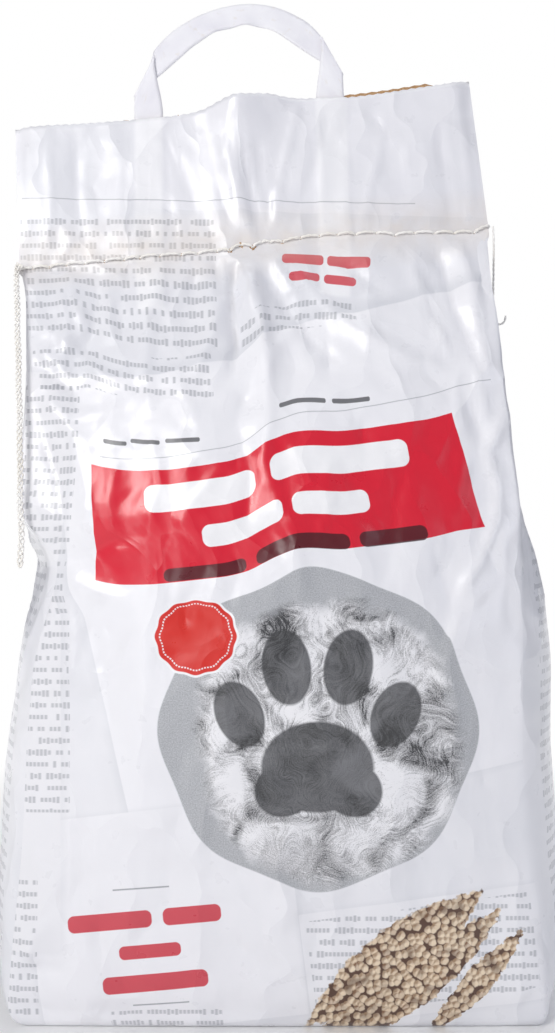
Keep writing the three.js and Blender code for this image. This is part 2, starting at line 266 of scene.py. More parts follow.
short_route = route_through(SHORT_TAIL_ROUTE, SHORT_TAIL_STEPS)
short_points, short_faces = thread_tube(short_route, SHORT_TAIL_DIAMETER / 2, twist=2.6)
short_tail = make_piece("thread_tail_short_single", short_points, short_faces, [COTTON])
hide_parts("thread_tail_short")


# The flap's own frame: across runs along the seam, up runs up the flap, back is its normal

FLAP_TILT = math.radians(4.5)
FLAP_LEAN = math.radians(11.5)
SEAM_CENTRE = np.array([-13.3, 0, 399.5])
FLAP_FOOT = 6
FLAP_ACROSS = np.array([math.cos(FLAP_TILT), 0, math.sin(FLAP_TILT)])
FLAP_UP = np.array([-math.sin(FLAP_TILT) * math.cos(FLAP_LEAN), math.sin(FLAP_LEAN),
                    math.cos(FLAP_TILT) * math.cos(FLAP_LEAN)])
FLAP_BACK = unit(np.cross(FLAP_UP, FLAP_ACROSS))


def on_flap(across, up, back):
    """Points on or off the flap's plane."""
    across, up, back = np.broadcast_arrays(*(np.asarray(v, float) for v in (across, up, back)))
    return (SEAM_CENTRE + across[..., None] * FLAP_ACROSS + up[..., None] * FLAP_UP
            + back[..., None] * FLAP_BACK)


FOOT = on_flap(0, -FLAP_FOOT, 0)


# The sack's section from base to flap: what changes with the share of the height below the flap

PANEL_WIDTH = 260
GUSSET_WIDTH = 112
TUBE_WIDTH = 2 * PANEL_WIDTH + 2 * GUSSET_WIDTH
BODY_PAPER = 413
FOLD_GAP = 0.35
FLAP_SWELL = 1.45

HALF_DEPTH = [(0, 56), (0.05, 55.5), (0.12, 53.3), (0.22, 50), (0.34, 47.9), (0.46, 46.8),
              (0.56, 45.7), (0.63, 43.5), (0.69, 39.7), (0.75, 33.8), (0.81, 26.2), (0.87, 18.1),
              (0.92, 11.4), (0.96, 5.4), (0.985, 1.9), (1, 0.35)]
BELLY = [(0, 0.04), (0.05, 0.24), (0.12, 0.5), (0.22, 0.76), (0.34, 0.93), (0.46, 1), (0.56, 0.98),
         (0.63, 0.92), (0.69, 0.84), (0.75, 0.72), (0.81, 0.56), (0.87, 0.38), (0.92, 0.22),
         (0.96, 0.11), (1, 0.063)]
FRONT_BELLY = 23
FRONT_FOOT = [(0, 3.5), (0.05, 3.4), (0.12, 2), (0.2, 0)]
BACK_BELLY = 21
RIGHT_BULGE = [(0, 3), (0.03, 11), (0.08, 18), (0.155, 22), (0.29, 25.5), (0.42, 25.5), (0.5, 23),
               (0.573, 18), (0.63, 10), (0.69, 2), (0.73, 0)]
LEFT_BULGE = [(0, 3), (0.03, 11), (0.08, 17), (0.15, 20.5), (0.25, 21.5), (0.37, 18.5), (0.455, 16),
              (0.533, 14), (0.6, 12), (0.65, 5), (0.7, 1), (0.73, 0)]
GUSSET_TUCK = [(0, 0), (0.64, 0), (0.69, 7), (0.75, 27), (0.81, 42), (0.87, 50), (0.92, 54),
               (0.96, 55.4), (1, 55.8)]
SIDE_SHIFT = [(0, 0), (0.22, 0.03), (0.34, 0.08), (0.46, 0.16), (0.56, 0.25), (0.69, 0.37),
              (0.81, 0.52), (0.92, 0.76), (1, 1)]
LEFT_FOLD = [(0, -132.5), (50, -129), (90, -126.5), (121, -125.3), (135, -125), (157, -123.5),
             (173, -122.2), (189, -119), (206, -114), (226, -110.7), (232, -113.5), (240, -119.3),
             (249, -126.8), (258, -130), (283, -131.5), (310, -132), (343, -134.5), (375, -138),
             (394, -142.4)]
RIGHT_FOLD = [(0, 132.5), (50, 129), (90, 124.5), (134, 122), (180, 122.5), (220, 122), (258, 121.6),
              (283, 120), (310, 119.5), (343, 119), (375, 117), (394, 116.8)]
LEFT_BACK_FOLD = [(0, -132), (60, -128), (120, -125), (180, -124), (240, -126), (310, -132),
                  (375, -138), (394, -142.4)]

# How the lowest few millimetres turn in to the flat base, most at the knocked left corner:
# axis, side, how far in, how tall, half the base's width
BASE_TURN_IN = [(0, -1, 9, 13, 132), (0, 1, 4, 9, 132), (1, -1, 3, 5, 60), (1, 1, 3, 5, 60)]

FRONT_CELLS = 108
GUSSET_CELLS = 40
BACK_CELLS = 84
PANEL_CELLS = [FRONT_CELLS, GUSSET_CELLS, BACK_CELLS, GUSSET_CELLS]
PANEL_STARTS = np.concatenate(([0], np.cumsum(PANEL_CELLS)))
COLUMNS = int(PANEL_STARTS[-1])
BODY_ROWS = 170
FLAP_ROWS = 36
PANEL_FULLNESS = 2.2

column_panel = np.repeat(np.arange(4), PANEL_CELLS)
column_share = np.concatenate([np.arange(n) / n for n in PANEL_CELLS])
PANEL_PAPER = np.array([0, PANEL_WIDTH, PANEL_WIDTH + GUSSET_WIDTH, 2 * PANEL_WIDTH + GUSSET_WIDTH,
                        TUBE_WIDTH])
column_paper = PANEL_PAPER[column_panel] + column_share * np.diff(PANEL_PAPER)[column_panel]
row_paper = np.linspace(0, BODY_PAPER, BODY_ROWS)


def full(share):
    """How far a filled panel bulges across its width."""
    return 1 - np.abs(2 * share - 1) ** PANEL_FULLNESS


def tent(share):
    """How far a folded gusset goes in across its width."""
    return 1 - np.abs(2 * share - 1)


def ring_outline(left, right, back_left, back_right, depths, front, back, bulges, tuck):
    """Across and depth of every column of one section, each given for every row."""
    t = column_share[None, :]
    panel = column_panel[None, :]
    across = np.choose(panel, [
        left + (right - left) * t,
        right + (back_right - right) * t + bulges[1] * full(t) - tuck * tent(t),
        back_right + (back_left - back_right) * t,
        back_left + (left - back_left) * t - bulges[0] * full(t) + tuck * tent(t),
    ])
    fore, aft = depths
    deep = np.choose(panel, [
        -fore - front * full(t),
        (fore + aft) * t - fore,
        aft + back * full(t),
        aft - (fore + aft) * t,
    ])
    return across, deep


def filled_body():
    """Points of the filled paper tube from the base to the flap's foot, row by row."""
    rise = (row_paper / BODY_PAPER)[:, None]
    height = FOOT[2] * rise
    shift = smooth_through(rise, SIDE_SHIFT)
    turn = shift ** 2
    centre = np.stack([FOOT[0] * shift, FOOT[1] * turn, height], axis=-1)
    level = np.array([1.0, 0, 0])
    upright = np.array([0, 1.0, 0])
    across_axis = unit(level + (FLAP_ACROSS - level) * turn[..., None])
    back_axis = unit(upright + (FLAP_BACK - upright) * (turn ** 2)[..., None])
    middle = centre[..., 0]
    right = smooth_through(height, RIGHT_FOLD) - middle
    belly = smooth_through(rise, BELLY)
    depth = smooth_through(rise, HALF_DEPTH)
    across, deep = ring_outline(
        smooth_through(height, LEFT_FOLD) - middle, right,
        smooth_through(height, LEFT_BACK_FOLD) - middle, right,
        (depth + smooth_through(rise, FRONT_FOOT), depth), FRONT_BELLY * belly, BACK_BELLY * belly,
        (smooth_through(rise, LEFT_BULGE), smooth_through(rise, RIGHT_BULGE)),
        smooth_through(rise, GUSSET_TUCK))
    points = centre + across[..., None] * across_axis + deep[..., None] * back_axis
    for axis, side, drawn_in, tall, half in BASE_TURN_IN:
        turn_in = drawn_in * (1 - np.sqrt(1 - (1 - np.clip(height / tall, 0, 1)) ** 2))
        shrink = 1 - turn_in / half * (np.sign(points[..., axis]) == side)
        points[..., axis] *= shrink
    return points


def as_seen(points):
    """Across and up in millimetres on the seam's upright plane, as seen from in front."""
    away = (points[..., 1] - CAMERA_PLACE[1]) / -CAMERA_PLACE[1]
    return np.stack([points[..., 0] / away, 250 + (points[..., 2] - 250) / away], axis=-1)


def grid_normals(points, closed=True):
    """Outward normals of a grid of rows and columns."""
    if closed:
        along = np.roll(points, -1, axis=1) - np.roll(points, 1, axis=1)
    else:
        along = np.gradient(points, axis=1)
    upward = np.gradient(points, axis=0)
    return unit(np.cross(along, upward))


def line_reach(places, line):
    """Distance of places from a row of points, and the side they are on, right being above zero."""
    best = np.full(places.shape[:-1], 1e9)
    side = np.zeros(places.shape[:-1])
    for a, b in zip(np.array(line[:-1], float), np.array(line[1:], float)):
        way = b - a
        t = np.clip(((places - a) @ way) / (way @ way), 0, 1)
        gap = places - (a + t[..., None] * way)
        reach = np.linalg.norm(gap, axis=-1)
        nearer = reach < best
        best = np.where(nearer, reach, best)
        side = np.where(nearer, np.sign(way[1] * gap[..., 0] - way[0] * gap[..., 1]), side)
    return best, side


def crease(places, line, height, width, fade=14):
    """A sharp ridge, or a valley if height is below zero, which dies out at its ends."""
    reach, _ = line_reach(places, line)
    start, end = np.array(line[0], float), np.array(line[-1], float)
    ends = np.minimum(np.linalg.norm(places - start, axis=-1), np.linalg.norm(places - end, axis=-1))
    return height * np.exp(-reach / width) * (0.35 + 0.65 * ease(ends / fade))


def step_fold(places, line, drop, width):
    """The paper right of a line falls away by drop over the width; left of it nothing changes."""
    reach, side = line_reach(places, line)
    return -drop * (1 - np.exp(-reach / width)) * (side > 0) * np.exp(-(reach / (3.5 * width)) ** 2)


# Creases of the front panel, in millimetres as seen: line, height, width
SHOULDER_RIDGE = [(126.7, 311.6), (113.5, 286.2), (115.7, 280.6), (119, 268.5), (120.1, 257.5),
                  (119.5, 249.2), (109.1, 222.7), (102.4, 213.8), (98, 200)]
FRONT_CREASES = [
    ([(-20.5, 394), (-24.5, 380), (-25.1, 362), (-22.9, 347), (-25.5, 328)], -3.4, 3.2),
    ([(-15.2, 391), (-11, 372), (-8.6, 353), (-6, 330), (-5.2, 303), (-6.9, 276)], 2.6, 4.5),
    ([(-31, 392), (-33, 372), (-36, 350), (-46, 325)], 1.8, 4.5),
    ([(-10, 390), (4, 366), (22, 344), (40, 330)], -1.6, 4.5),
    ([(6, 392), (22, 372), (44, 352), (70, 338), (96, 330)], 1.3, 4.0),
    ([(30, 396), (44, 384), (66, 370)], -1.2, 3.2),
    ([(-34.5, 394.4), (-31.8, 375.1), (-34, 361.3)], -2.0, 2.4),
    ([(-23.5, 396), (-15.2, 375.1), (-14.1, 358.5)], 2.2, 2.4),
    ([(-4.1, 401.6), (1.4, 386.1), (10, 372)], 1.4, 1.8),
    ([(-136.7, 347.5), (-111.8, 325.4)], 1.2, 2.0),
    ([(-131.1, 336.4), (-106.3, 311.6)], -1.2, 2.0),
    ([(-124.5, 353), (-98, 329.8), (-84, 322)], 1.2, 2.2),
    ([(-56.6, 328.1), (-48, 312), (-42.8, 297.8)], 1.5, 2.2),
    ([(84.2, 361.3), (90, 350), (95.2, 336.4)], 1.6, 2.0),
    ([(106.3, 336.4), (112, 318), (115.7, 297.8)], 1.6, 2.2),
    ([(104.6, 348.6), (111.8, 329.8)], -1.2, 1.8),
    ([(-116.2, 386), (-109.1, 364), (-105.2, 349)], 1.5, 2.0),
    ([(-87, 388), (-85.9, 370)], 1.1, 1.8),
    ([(-64.9, 388), (-64.9, 360.2)], 1.2, 2.0),
    ([(-46.7, 390), (-45, 364)], -1.1, 2.2),
    ([(45.6, 359.6), (52.2, 344.7)], 1.1, 1.8),
    ([(-70.4, 353), (-56.6, 340.8)], 1.0, 1.8),
    ([(74.8, 402), (76, 384), (82, 366)], 1.1, 2.0),
    ([(-1.9, 299.4), (9.7, 287.8)], 1.2, 1.8),
    ([(32.9, 267.4), (26.2, 248.1), (21.3, 229.3)], 1.2, 2.2),
    ([(99.7, 307.7), (100.5, 280), (99.7, 252.5)], 1.2, 2.4),
    ([(-18, 322), (-22, 300), (-14, 276), (-18, 240)], -1.5, 3.4),
    ([(-70, 300), (-66, 270), (-72, 236)], 0.9, 3.0),
    ([(58.8, 402.7), (63, 398.3), (69, 392)], 1.2, 1.8),
    ([(84, 404), (92, 388), (98, 366), (108, 344)], -1.5, 3.6),
    ([(98, 406), (106, 380), (110, 352), (117, 320)], 1.5, 3.4),
    ([(112, 404), (113, 386), (118, 362)], -1.3, 2.6),
    ([(-68, 386), (-70, 360), (-72, 331), (-70, 300)], 1.2, 4.5),
    ([(-98, 384), (-101, 356), (-112, 330)], -1.5, 4.5),
    ([(-120, 382), (-116, 352), (-121, 322), (-126, 300)], 1.3, 3.8),
    ([(-84, 385), (-88, 362), (-84, 335)], -1.0, 3.5),
    ([(-130, 318), (-112, 296), (-104, 262), (-108, 236)], 1.4, 4.5),
    ([(-131, 300), (-121, 272), (-118, 246), (-121, 228)], -2.2, 4.0),
    ([(-121.8, 226), (-110, 214), (-98, 207), (-82, 204)], 2.0, 4.0),
    ([(-121.8, 226), (-106, 228), (-92, 236), (-76, 240)], -1.8, 4.0),
    ([(-121.8, 224), (-113, 200), (-112, 176), (-117, 152)], 1.5, 3.5),
    ([(-119, 216), (-104, 190), (-94, 160), (-92, 130)], -1.2, 6.0),
    (SHOULDER_RIDGE, 3.6, 2.8),
    ([(112.9, 282.6), (125.6, 301.1), (129.8, 310.2)], 1.8, 1.8),
    ([(119.9, 257.5), (131.1, 261.9)], -1.8, 2.2),
    ([(103.5, 317.1), (110.7, 301.1), (114, 287.3)], -2.0, 2.4),
    ([(98, 326), (100, 306), (106, 290), (104, 270)], 1.4, 2.0),
    ([(109, 222.7), (118, 232), (124, 246)], -1.4, 2.4),
    ([(98, 200), (106, 204), (116, 214)], 1.2, 2.0),
    ([(86, 232), (92, 214), (96, 196)], -1.2, 2.6),
    ([(124, 284), (128, 272), (124, 268)], -1.2, 2.0),
    ([(93.5, 195.5), (98, 194.2), (103, 193.5)], 0.9, 1.5),
    ([(98, 200), (92, 176), (94, 150), (99, 120)], 1.0, 5.0),
    ([(60, 300), (66, 270), (64, 236), (56, 206)], -0.9, 7.0),
    ([(-8, 282), (2, 255), (12, 228), (14, 200)], 1.2, 5.0),
    ([(-88, 290), (-92, 262), (-90, 230)], 1.0, 5.0),
    ([(-60, 286), (-58, 256), (-62, 226)], -0.8, 5.0),
    ([(-128, 2), (-136, 8), (-134, 20), (-124, 28)], 2.0, 3.0),
    ([(-141, -6), (-131, 2), (-119, 0)], -3.0, 3.4),
    ([(-146, 20), (-136, 10), (-126, -8)], 1.8, 2.6),
    ([(136, -2), (142, -10), (149, -22)], -2.0, 3.2),
    ([(128, -18), (137, -8), (146, -4)], 1.6, 2.6),
    ([(-147, 79), (-141, 92), (-139, 104)], 1.0, 3.0),
    ([(-40, 120), (-36, 90), (-40, 62)], -0.8, 9.0),
    ([(40, 60), (60, 40), (90, 20)], 0.8, 9.0),
]


def wandering_creases(places, size, count, height, seed):
    """Irregular shallow facets of handled paper over a panel of the given size."""
    picks = np.random.default_rng(seed)
    total = np.zeros(places.shape[:-1])
    for _ in range(count):
        middle = picks.uniform((0, 0), size)
        heading = picks.normal(math.pi / 2, 0.75)
        length = picks.uniform(18, 70)
        bend = picks.normal(0, 0.18) * length
        way = np.array([math.cos(heading), math.sin(heading)])
        turn = np.array([-way[1], way[0]])
        line = [middle - way * length / 2, middle + turn * bend, middle + way * length / 2]
        lift = height * picks.uniform(0.4, 1) * picks.choice([-1, 1])
        total += crease(places, line, lift, picks.uniform(2.2, 6), fade=length / 3)
    return total


# The paper keeps its flat lengths, so it buckles where the filled shape is shorter than the tube

# Row step, column step, stiffness, and if the link only keeps the paper from bending
LINK_KINDS = [(0, 1, 1.0, False), (1, 0, 1.0, False), (1, 1, 0.6, False), (1, -1, 0.6, False),
              (0, 2, 0.5, True), (2, 0, 0.5, True), (0, 4, 0.4, True), (4, 0, 0.4, True),
              (0, 8, 0.3, True), (8, 0, 0.3, True)]
BEND_SPARE = 0.6


def paper_links(filled, spare):
    """Pairs of grid points with the paper's length between them, in groups that share no point."""
    columns = np.arange(COLUMNS)
    rows = np.arange(BODY_ROWS)
    links = []
    for row_step, column_step, stiffness, bends in LINK_KINDS:
        for phase in range(2):
            first_rows = rows[: BODY_ROWS - row_step]
            first = columns
            if row_step:
                first_rows = first_rows[(first_rows // row_step) % 2 == phase]
            else:
                first = columns[(columns // column_step) % 2 == phase]
            if bends and column_step:
                # the paper is creased at the panels' edges, so it bends there freely
                same = column_panel[first] == column_panel[(first + column_step - 1) % COLUMNS]
                first = first[same]
            near = np.ix_(first_rows, first)
            far = np.ix_(first_rows + row_step, (first + column_step) % COLUMNS)
            gap = np.linalg.norm(filled[far] - filled[near], axis=-1)
            rest = gap * (1 + spare[first_rows] * (BEND_SPARE if bends else 1))
            links.append((near, far, rest.astype(np.float32), stiffness, bends))
    return links


# Spare paper length, as a share, from the base to the seam: most of it lies over the shoulder
SPARE_PAPER = [(0, 0.001), (0.3, 0.002), (0.5, 0.004), (0.62, 0.010), (0.8, 0.014), (0.95, 0.012),
               (1, 0.006)]


def settle_paper(filled, steps=70, sweeps=4, reach=7.0):
    """Lets the sheet buckle over the filling, and gives its settled points."""
    target = filled.astype(np.float32)
    links = paper_links(target, smooth_through((row_paper / BODY_PAPER)[:, None], SPARE_PAPER))
    points = target.copy()
    before = points.copy()
    rise = (row_paper / BODY_PAPER)[:, None, None].astype(np.float32)
    press = 0.1 * np.clip(0.74 - rise, 0, 1)
    hold = 0.04 + 0.5 * ease((rise - 0.93) / 0.07) + 0.5 * ease((0.04 - rise) / 0.04)
    for _ in range(steps):
        moved = (points - before) * 0.6
        before = points.copy()
        points = points + moved + grid_normals(points) * press + (target - points) * hold
        for _ in range(sweeps):
            for first, second, rest, stiffness, bends in links:
                gap = points[second] - points[first]
                length = np.maximum(np.linalg.norm(gap, axis=-1), 1e-4)
                miss = 1 - rest / length
                if bends:
                    miss = np.minimum(miss, 0)
                move = gap * (0.5 * stiffness * miss)[..., None]
                points[first] += move
                points[second] -= move
            points[:2] = target[:2]
            points[-2:] = target[-2:]
    off = points - target
    far = np.linalg.norm(off, axis=-1, keepdims=True)
    off *= np.minimum(1, reach * np.tanh(far / reach) / np.maximum(far, 1e-6))
    settled = target + off
    for _ in range(2):
        round_about = (np.roll(settled, 1, axis=1) + np.roll(settled, -1, axis=1)) / 2
        settled[1:-1] = (0.5 * settled[1:-1] + 0.25 * round_about[1:-1]
                         + 0.125 * (settled[2:] + settled[:-2]))
    return settled.astype(float)


# The flat flap above the seam, in its own frame

FRONT_MOUTH = [(-130, 82.5), (-50, 82.2), (0, 83.6), (16, 86), (38, 86.8), (58, 86), (110, 88.3),
               (132, 91)]
BACK_RISE = [(-130, 0.4), (-112, 0.2), (-108, 3), (-104, 0.4), (-70, 1), (-67, 3.2), (-62, 0.8),
             (-41, 0.6), (-37.5, 3), (-34, 0.6), (30, 0.8), (36, 0.8), (38.5, 3), (41, 0.8), (54, 1),
             (59, 4.2), (84, 4), (106, 4.2), (112, 1.2), (130, 0.6)]
FLAP_PEAK = 14
FLAP_CREASE_SHARE = 0.9
# The flap's ridge: where its left foot, top and right foot are across, and how that changes with up
RIDGE_LEFT = (-14.8, -0.14)
RIDGE_TOP = (-7.5, 0.05)
RIDGE_RIGHT = (7.6, 0.293)
# The handle's legs press through the front paper as two low bands
LEG_BAND_MIDDLE = -6.3
LEG_BAND_SPREAD = 51.6
LEG_BAND_SLOPE = 0.0507
# Needle holes along the seam: across and up on the flap
NEEDLE_HOLES = [
    (-122.2, -3.2), (-112.9, -3.7), (-103.5, -3.0), (-93.5, -3.3), (-82.5, -3.0), (-71.5, -2.8),
    (-62.7, -2.9), (-51.6, -2.7), (-39.8, -2.8), (-31.0, -3.1), (-20.2, -2.4), (-13.0, -2.7),
    (-6.8, 0.1), (-0.3, -1.7), (4.9, 0.9), (9.3, 0.5), (16.1, -0.1), (26.1, 1.5), (36.8, 1.6),
    (46.3, 1.3), (56.8, 1.1), (67.9, 1.2), (78.1, -1.0), (88.9, -0.6), (100.1, -1.5),
    (110.8, -2.2), (121.8, -2.8),
]
FLAP_CREASES = [
    ([(-4.5, 80), (-3, 52), (1.2, 26.6), (6.2, 3)], -3.2, 3.4),
    ([(32.9, 86.6), (19.8, 43.5), (10.1, 3)], 2.2, 2.2),
    ([(-13.4, 62), (-5.7, 24.2), (0.6, 3)], 1.8, 2.4),
    ([(6.8, 60), (7.6, 38.4), (12.4, 4)], -1.8, 2.2),
    ([(49.3, 78.7), (41.5, 54.1), (20.7, 4)], -1.5, 2.6),
    ([(-27, 90), (-21, 45), (-15.4, 3)], 1.5, 2.6),
    ([(-40, 60), (-30, 26), (-20, 4)], -1.3, 3.0),
    ([(42.1, 78), (41.5, 50), (40.5, 28)], 1.2, 1.8),
    ([(79.7, 76), (74, 46), (68.8, 33), (61, 4)], 1.3, 2.0),
    ([(89, 56), (91.2, 22)], 1.0, 1.8),
    ([(108, 66), (109.7, 29.5), (109.9, 2)], -1.3, 2.6),
    ([(121.7, 62), (124.1, 28.3), (119.4, 2)], 1.3, 2.2),
    ([(-95.8, 80), (-96.8, 40), (-94, 6)], -1.0, 3.0),
    ([(-112, 76), (-110, 40), (-114, 8)], 1.0, 2.6),
    ([(-73, 86), (-72, 40), (-74.5, 2)], 0.9, 4.5),
    ([(12.9, 88), (37.6, 74)], 1.3, 1.7),
    ([(36, 75.4), (68, 76)], 0.9, 1.6),
    ([(60, 62), (84, 56), (104, 60)], 0.8, 1.8),
    ([(-44, 34), (-38, 14), (-40, 2)], 1.1, 2.2),
    ([(-60, 26), (-57, 10), (-62, 2)], -0.9, 2.0),
    ([(54, 24), (50, 12), (52, 3)], 1.0, 2.0),
    ([(84, 26), (80, 12), (83, 2)], -0.9, 2.0),
    ([(-106, 24), (-101, 12), (-104, 2)], 0.9, 2.0),
    ([(34, 22), (31, 10), (33, 2)], -1.0, 2.0),
]


def half_gap(across):
    """Half the distance between the flap's front and back paper, small at the side folds."""
    share = np.clip(np.asarray(across, float) / PANEL_WIDTH + 0.5, 0, 1)
    return FOLD_GAP + FLAP_SWELL * full(share)


def front_relief(across, up):
    """How far the flap's front paper stands forward of its flat plane."""
    rise = np.clip((up + 4) / 92, 0, 1.1)
    left, peak, right = (foot + slope * up for foot, slope in (RIDGE_LEFT, RIDGE_TOP, RIDGE_RIGHT))
    share = np.minimum((across - left) / (peak - left), (right - across) / (right - peak))
    share = np.clip(share, 0, 1)
    relief = FLAP_PEAK * rise ** 1.3 * (0.6 * share + 0.4 * ease(share))
    relief += 1.1 * rise * (1 + np.sin(across / 19 + 0.8 + 0.012 * up))
    for side in (-1, 1):
        leg = LEG_BAND_MIDDLE + side * LEG_BAND_SPREAD + LEG_BAND_SLOPE * up
        relief += 0.75 * ease((9.8 - np.abs(across - leg)) / 2.4) * ease((up + 26) / 8)
    places = np.stack(np.broadcast_arrays(across, up), axis=-1).astype(float)
    for line, height, width in FLAP_CREASES:
        lift = crease(places, line, height, width, fade=10)
        relief += FLAP_CREASE_SHARE * lift * ease(up / 6 + 0.6)
    for hole in NEEDLE_HOLES:
        relief -= 0.55 * np.exp(-((across - hole[0]) ** 2 + (up - hole[1]) ** 2) / 2.6 ** 2)
    folds = ease((PANEL_WIDTH / 2 - np.abs(across)) / 9)
    return np.maximum(relief, -0.4) * (0.12 + 0.88 * folds)


def flap_rows():
    """Points of the flap above its foot, row by row, and how far up each is."""
    share = (np.arange(1, FLAP_ROWS + 1) / FLAP_ROWS)[:, None]
    t = column_share[None, :]
    half = PANEL_WIDTH / 2
    tuck = GUSSET_TUCK[-1][1]
    across = np.choose(column_panel[None, :], [
        -half + PANEL_WIDTH * t, half - tuck * tent(t), half - PANEL_WIDTH * t,
        -half + tuck * tent(t)])
    back_panel = column_panel[None, :] == 2
    mouth = smooth_through(across, FRONT_MOUTH) + back_panel * smooth_through(across, BACK_RISE)
    mouth = mouth + 0.28 * (-1) ** np.arange(COLUMNS)[None, :] - 0.5 * (column_panel % 2)[None, :]
    up = -FLAP_FOOT + share * (FLAP_FOOT + mouth)
    across = np.broadcast_to(across, up.shape)
    relief = front_relief(across, up)
    # the gusset's front leaf lies against the front paper
    leaf = np.choose(column_panel[None, :], [
        relief + 0 * t, relief * (1 - t), -0.6 * ease(up / 60) * (1 + np.sin(across / 23)),
        relief * t])
    flat = np.choose(column_panel[None, :], [
        -half_gap(across), FOLD_GAP * (2 * t - 1), half_gap(across), FOLD_GAP * (1 - 2 * t)])
    return on_flap(across, up, flat - leaf), on_flap(across, up, flat), up


# For each panel, its shallow facets: how many, how high in millimetres, and their seed
PANEL_FACETS = [(70, 1.0, 3), (44, 2.0, 11), (70, 1.5, 5), (44, 2.0, 13)]


def sack_grid():
    """The whole sack's points, the same before creasing, and each row's place on the flat paper."""
    plain = filled_body()
    seen = as_seen(plain)
    outward = grid_normals(plain)
    front = (column_panel == 0)[None, :] | (np.arange(COLUMNS) == FRONT_CELLS)[None, :]
    lift = np.zeros(plain.shape[:2])
    # tension from the stitches makes the creases deeper towards the seam
    drawn = 1.1 + 0.9 * ease((seen[..., 1] - 310) / 60)
    for line, height, width in FRONT_CREASES:
        lift += drawn * front * crease(seen, line, height, width)
    lift -= front * step_fold(seen, SHOULDER_RIDGE[::-1], 3.6, 8)
    paper = np.stack(np.broadcast_arrays(column_paper[None, :], row_paper[:, None]), axis=-1)
    # the filling stretches the paper smooth low down
    slack = 0.45 + 0.55 * ease((row_paper - 150) / 120)
    for panel, (count, height, seed) in enumerate(PANEL_FACETS):
        size = (np.diff(PANEL_PAPER)[panel], BODY_PAPER)
        local = paper - np.array([PANEL_PAPER[panel], 0])
        own = (column_panel == panel)[None, :] * slack[:, None]
        lift += own * wandering_creases(local, size, count, height, seed)
    # panels meet at the same points, so the relief dies away towards the folds between them
    edge = np.minimum(column_share, 1 - column_share) * np.diff(PANEL_PAPER)[column_panel]
    lift *= 0.35 + 0.65 * ease(edge / 14)[None, :]
    lift *= ease(row_paper / 10)[:, None] * ease((BODY_PAPER - row_paper) / 5)[:, None]
    body = settle_paper(plain + outward * 0.3 * lift[..., None])
    body = body + outward * ((0.8 * lift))[..., None]
    body[..., 2] = np.maximum(body[..., 2], 0.4)
    flap, flat_flap, up = flap_rows()
    points = np.concatenate((body, flap))
    smooth = np.concatenate((plain, flat_flap))
    heights = np.concatenate((np.broadcast_to(row_paper[:, None], (BODY_ROWS, COLUMNS)),
                              BODY_PAPER + FLAP_FOOT + up))
    return points, smooth, heights


LINING_ROWS = 15
PAPER_THICKNESS = 0.3
# Where each panel's print starts across the print's map
PRINT_STARTS = [0, 400, 600, 1000]
# The line between the front's two zones of print: its height in the middle, and its slope
ZONE_HEIGHT = 224
ZONE_SLOPE = 0.137


def sack_faces(rows):
    """Faces of a closed grid, row by row."""
    i, j = np.meshgrid(np.arange(rows - 1), np.arange(COLUMNS), indexing="ij")
    k = (j + 1) % COLUMNS
    corners = np.stack((i * COLUMNS + j, i * COLUMNS + k, (i + 1) * COLUMNS + k,
                        (i + 1) * COLUMNS + j), axis=-1)
    return corners.reshape(-1, 4)


def corner_map(near, far):
    """UV for each face corner from the values at a column as its own panel and as the last one's end."""
    rows = near.shape[0]
    i, j = np.meshgrid(np.arange(rows - 1), np.arange(COLUMNS), indexing="ij")
    return np.stack((near[i, j], far[i, j], far[i + 1, j], near[i + 1, j]), axis=2).reshape(-1, 2)


# How far the sagging paper lowers the print: place across as seen, and drop
PRINT_SAG = [(-104, 0), (-84, 6.6), (-62, 9.5), (-30, 10), (-18, 8), (-8, 4), (0, 1), (12, -1.5),
             (40, 2), (80, 2), (100, 0)]


def print_on_front(seen):
    """Where each front point lies on the print, which sags and leans with the paper."""
    # both fade out below the band and towards the seam; the lean is steepest on the right
    across, up = seen[..., 0], seen[..., 1]
    near = ease((up - 203 - 0.1 * across) / 22) * ease((400 - up) / 70)
    lean = np.clip((up - 262 - 0.137 * across) / 32, -1.3, 1.3) * np.clip(0.5 + 0.039 * across, -4, 5)
    return np.stack((across + lean * near, up + smooth_through(across, PRINT_SAG) * near), axis=-1)


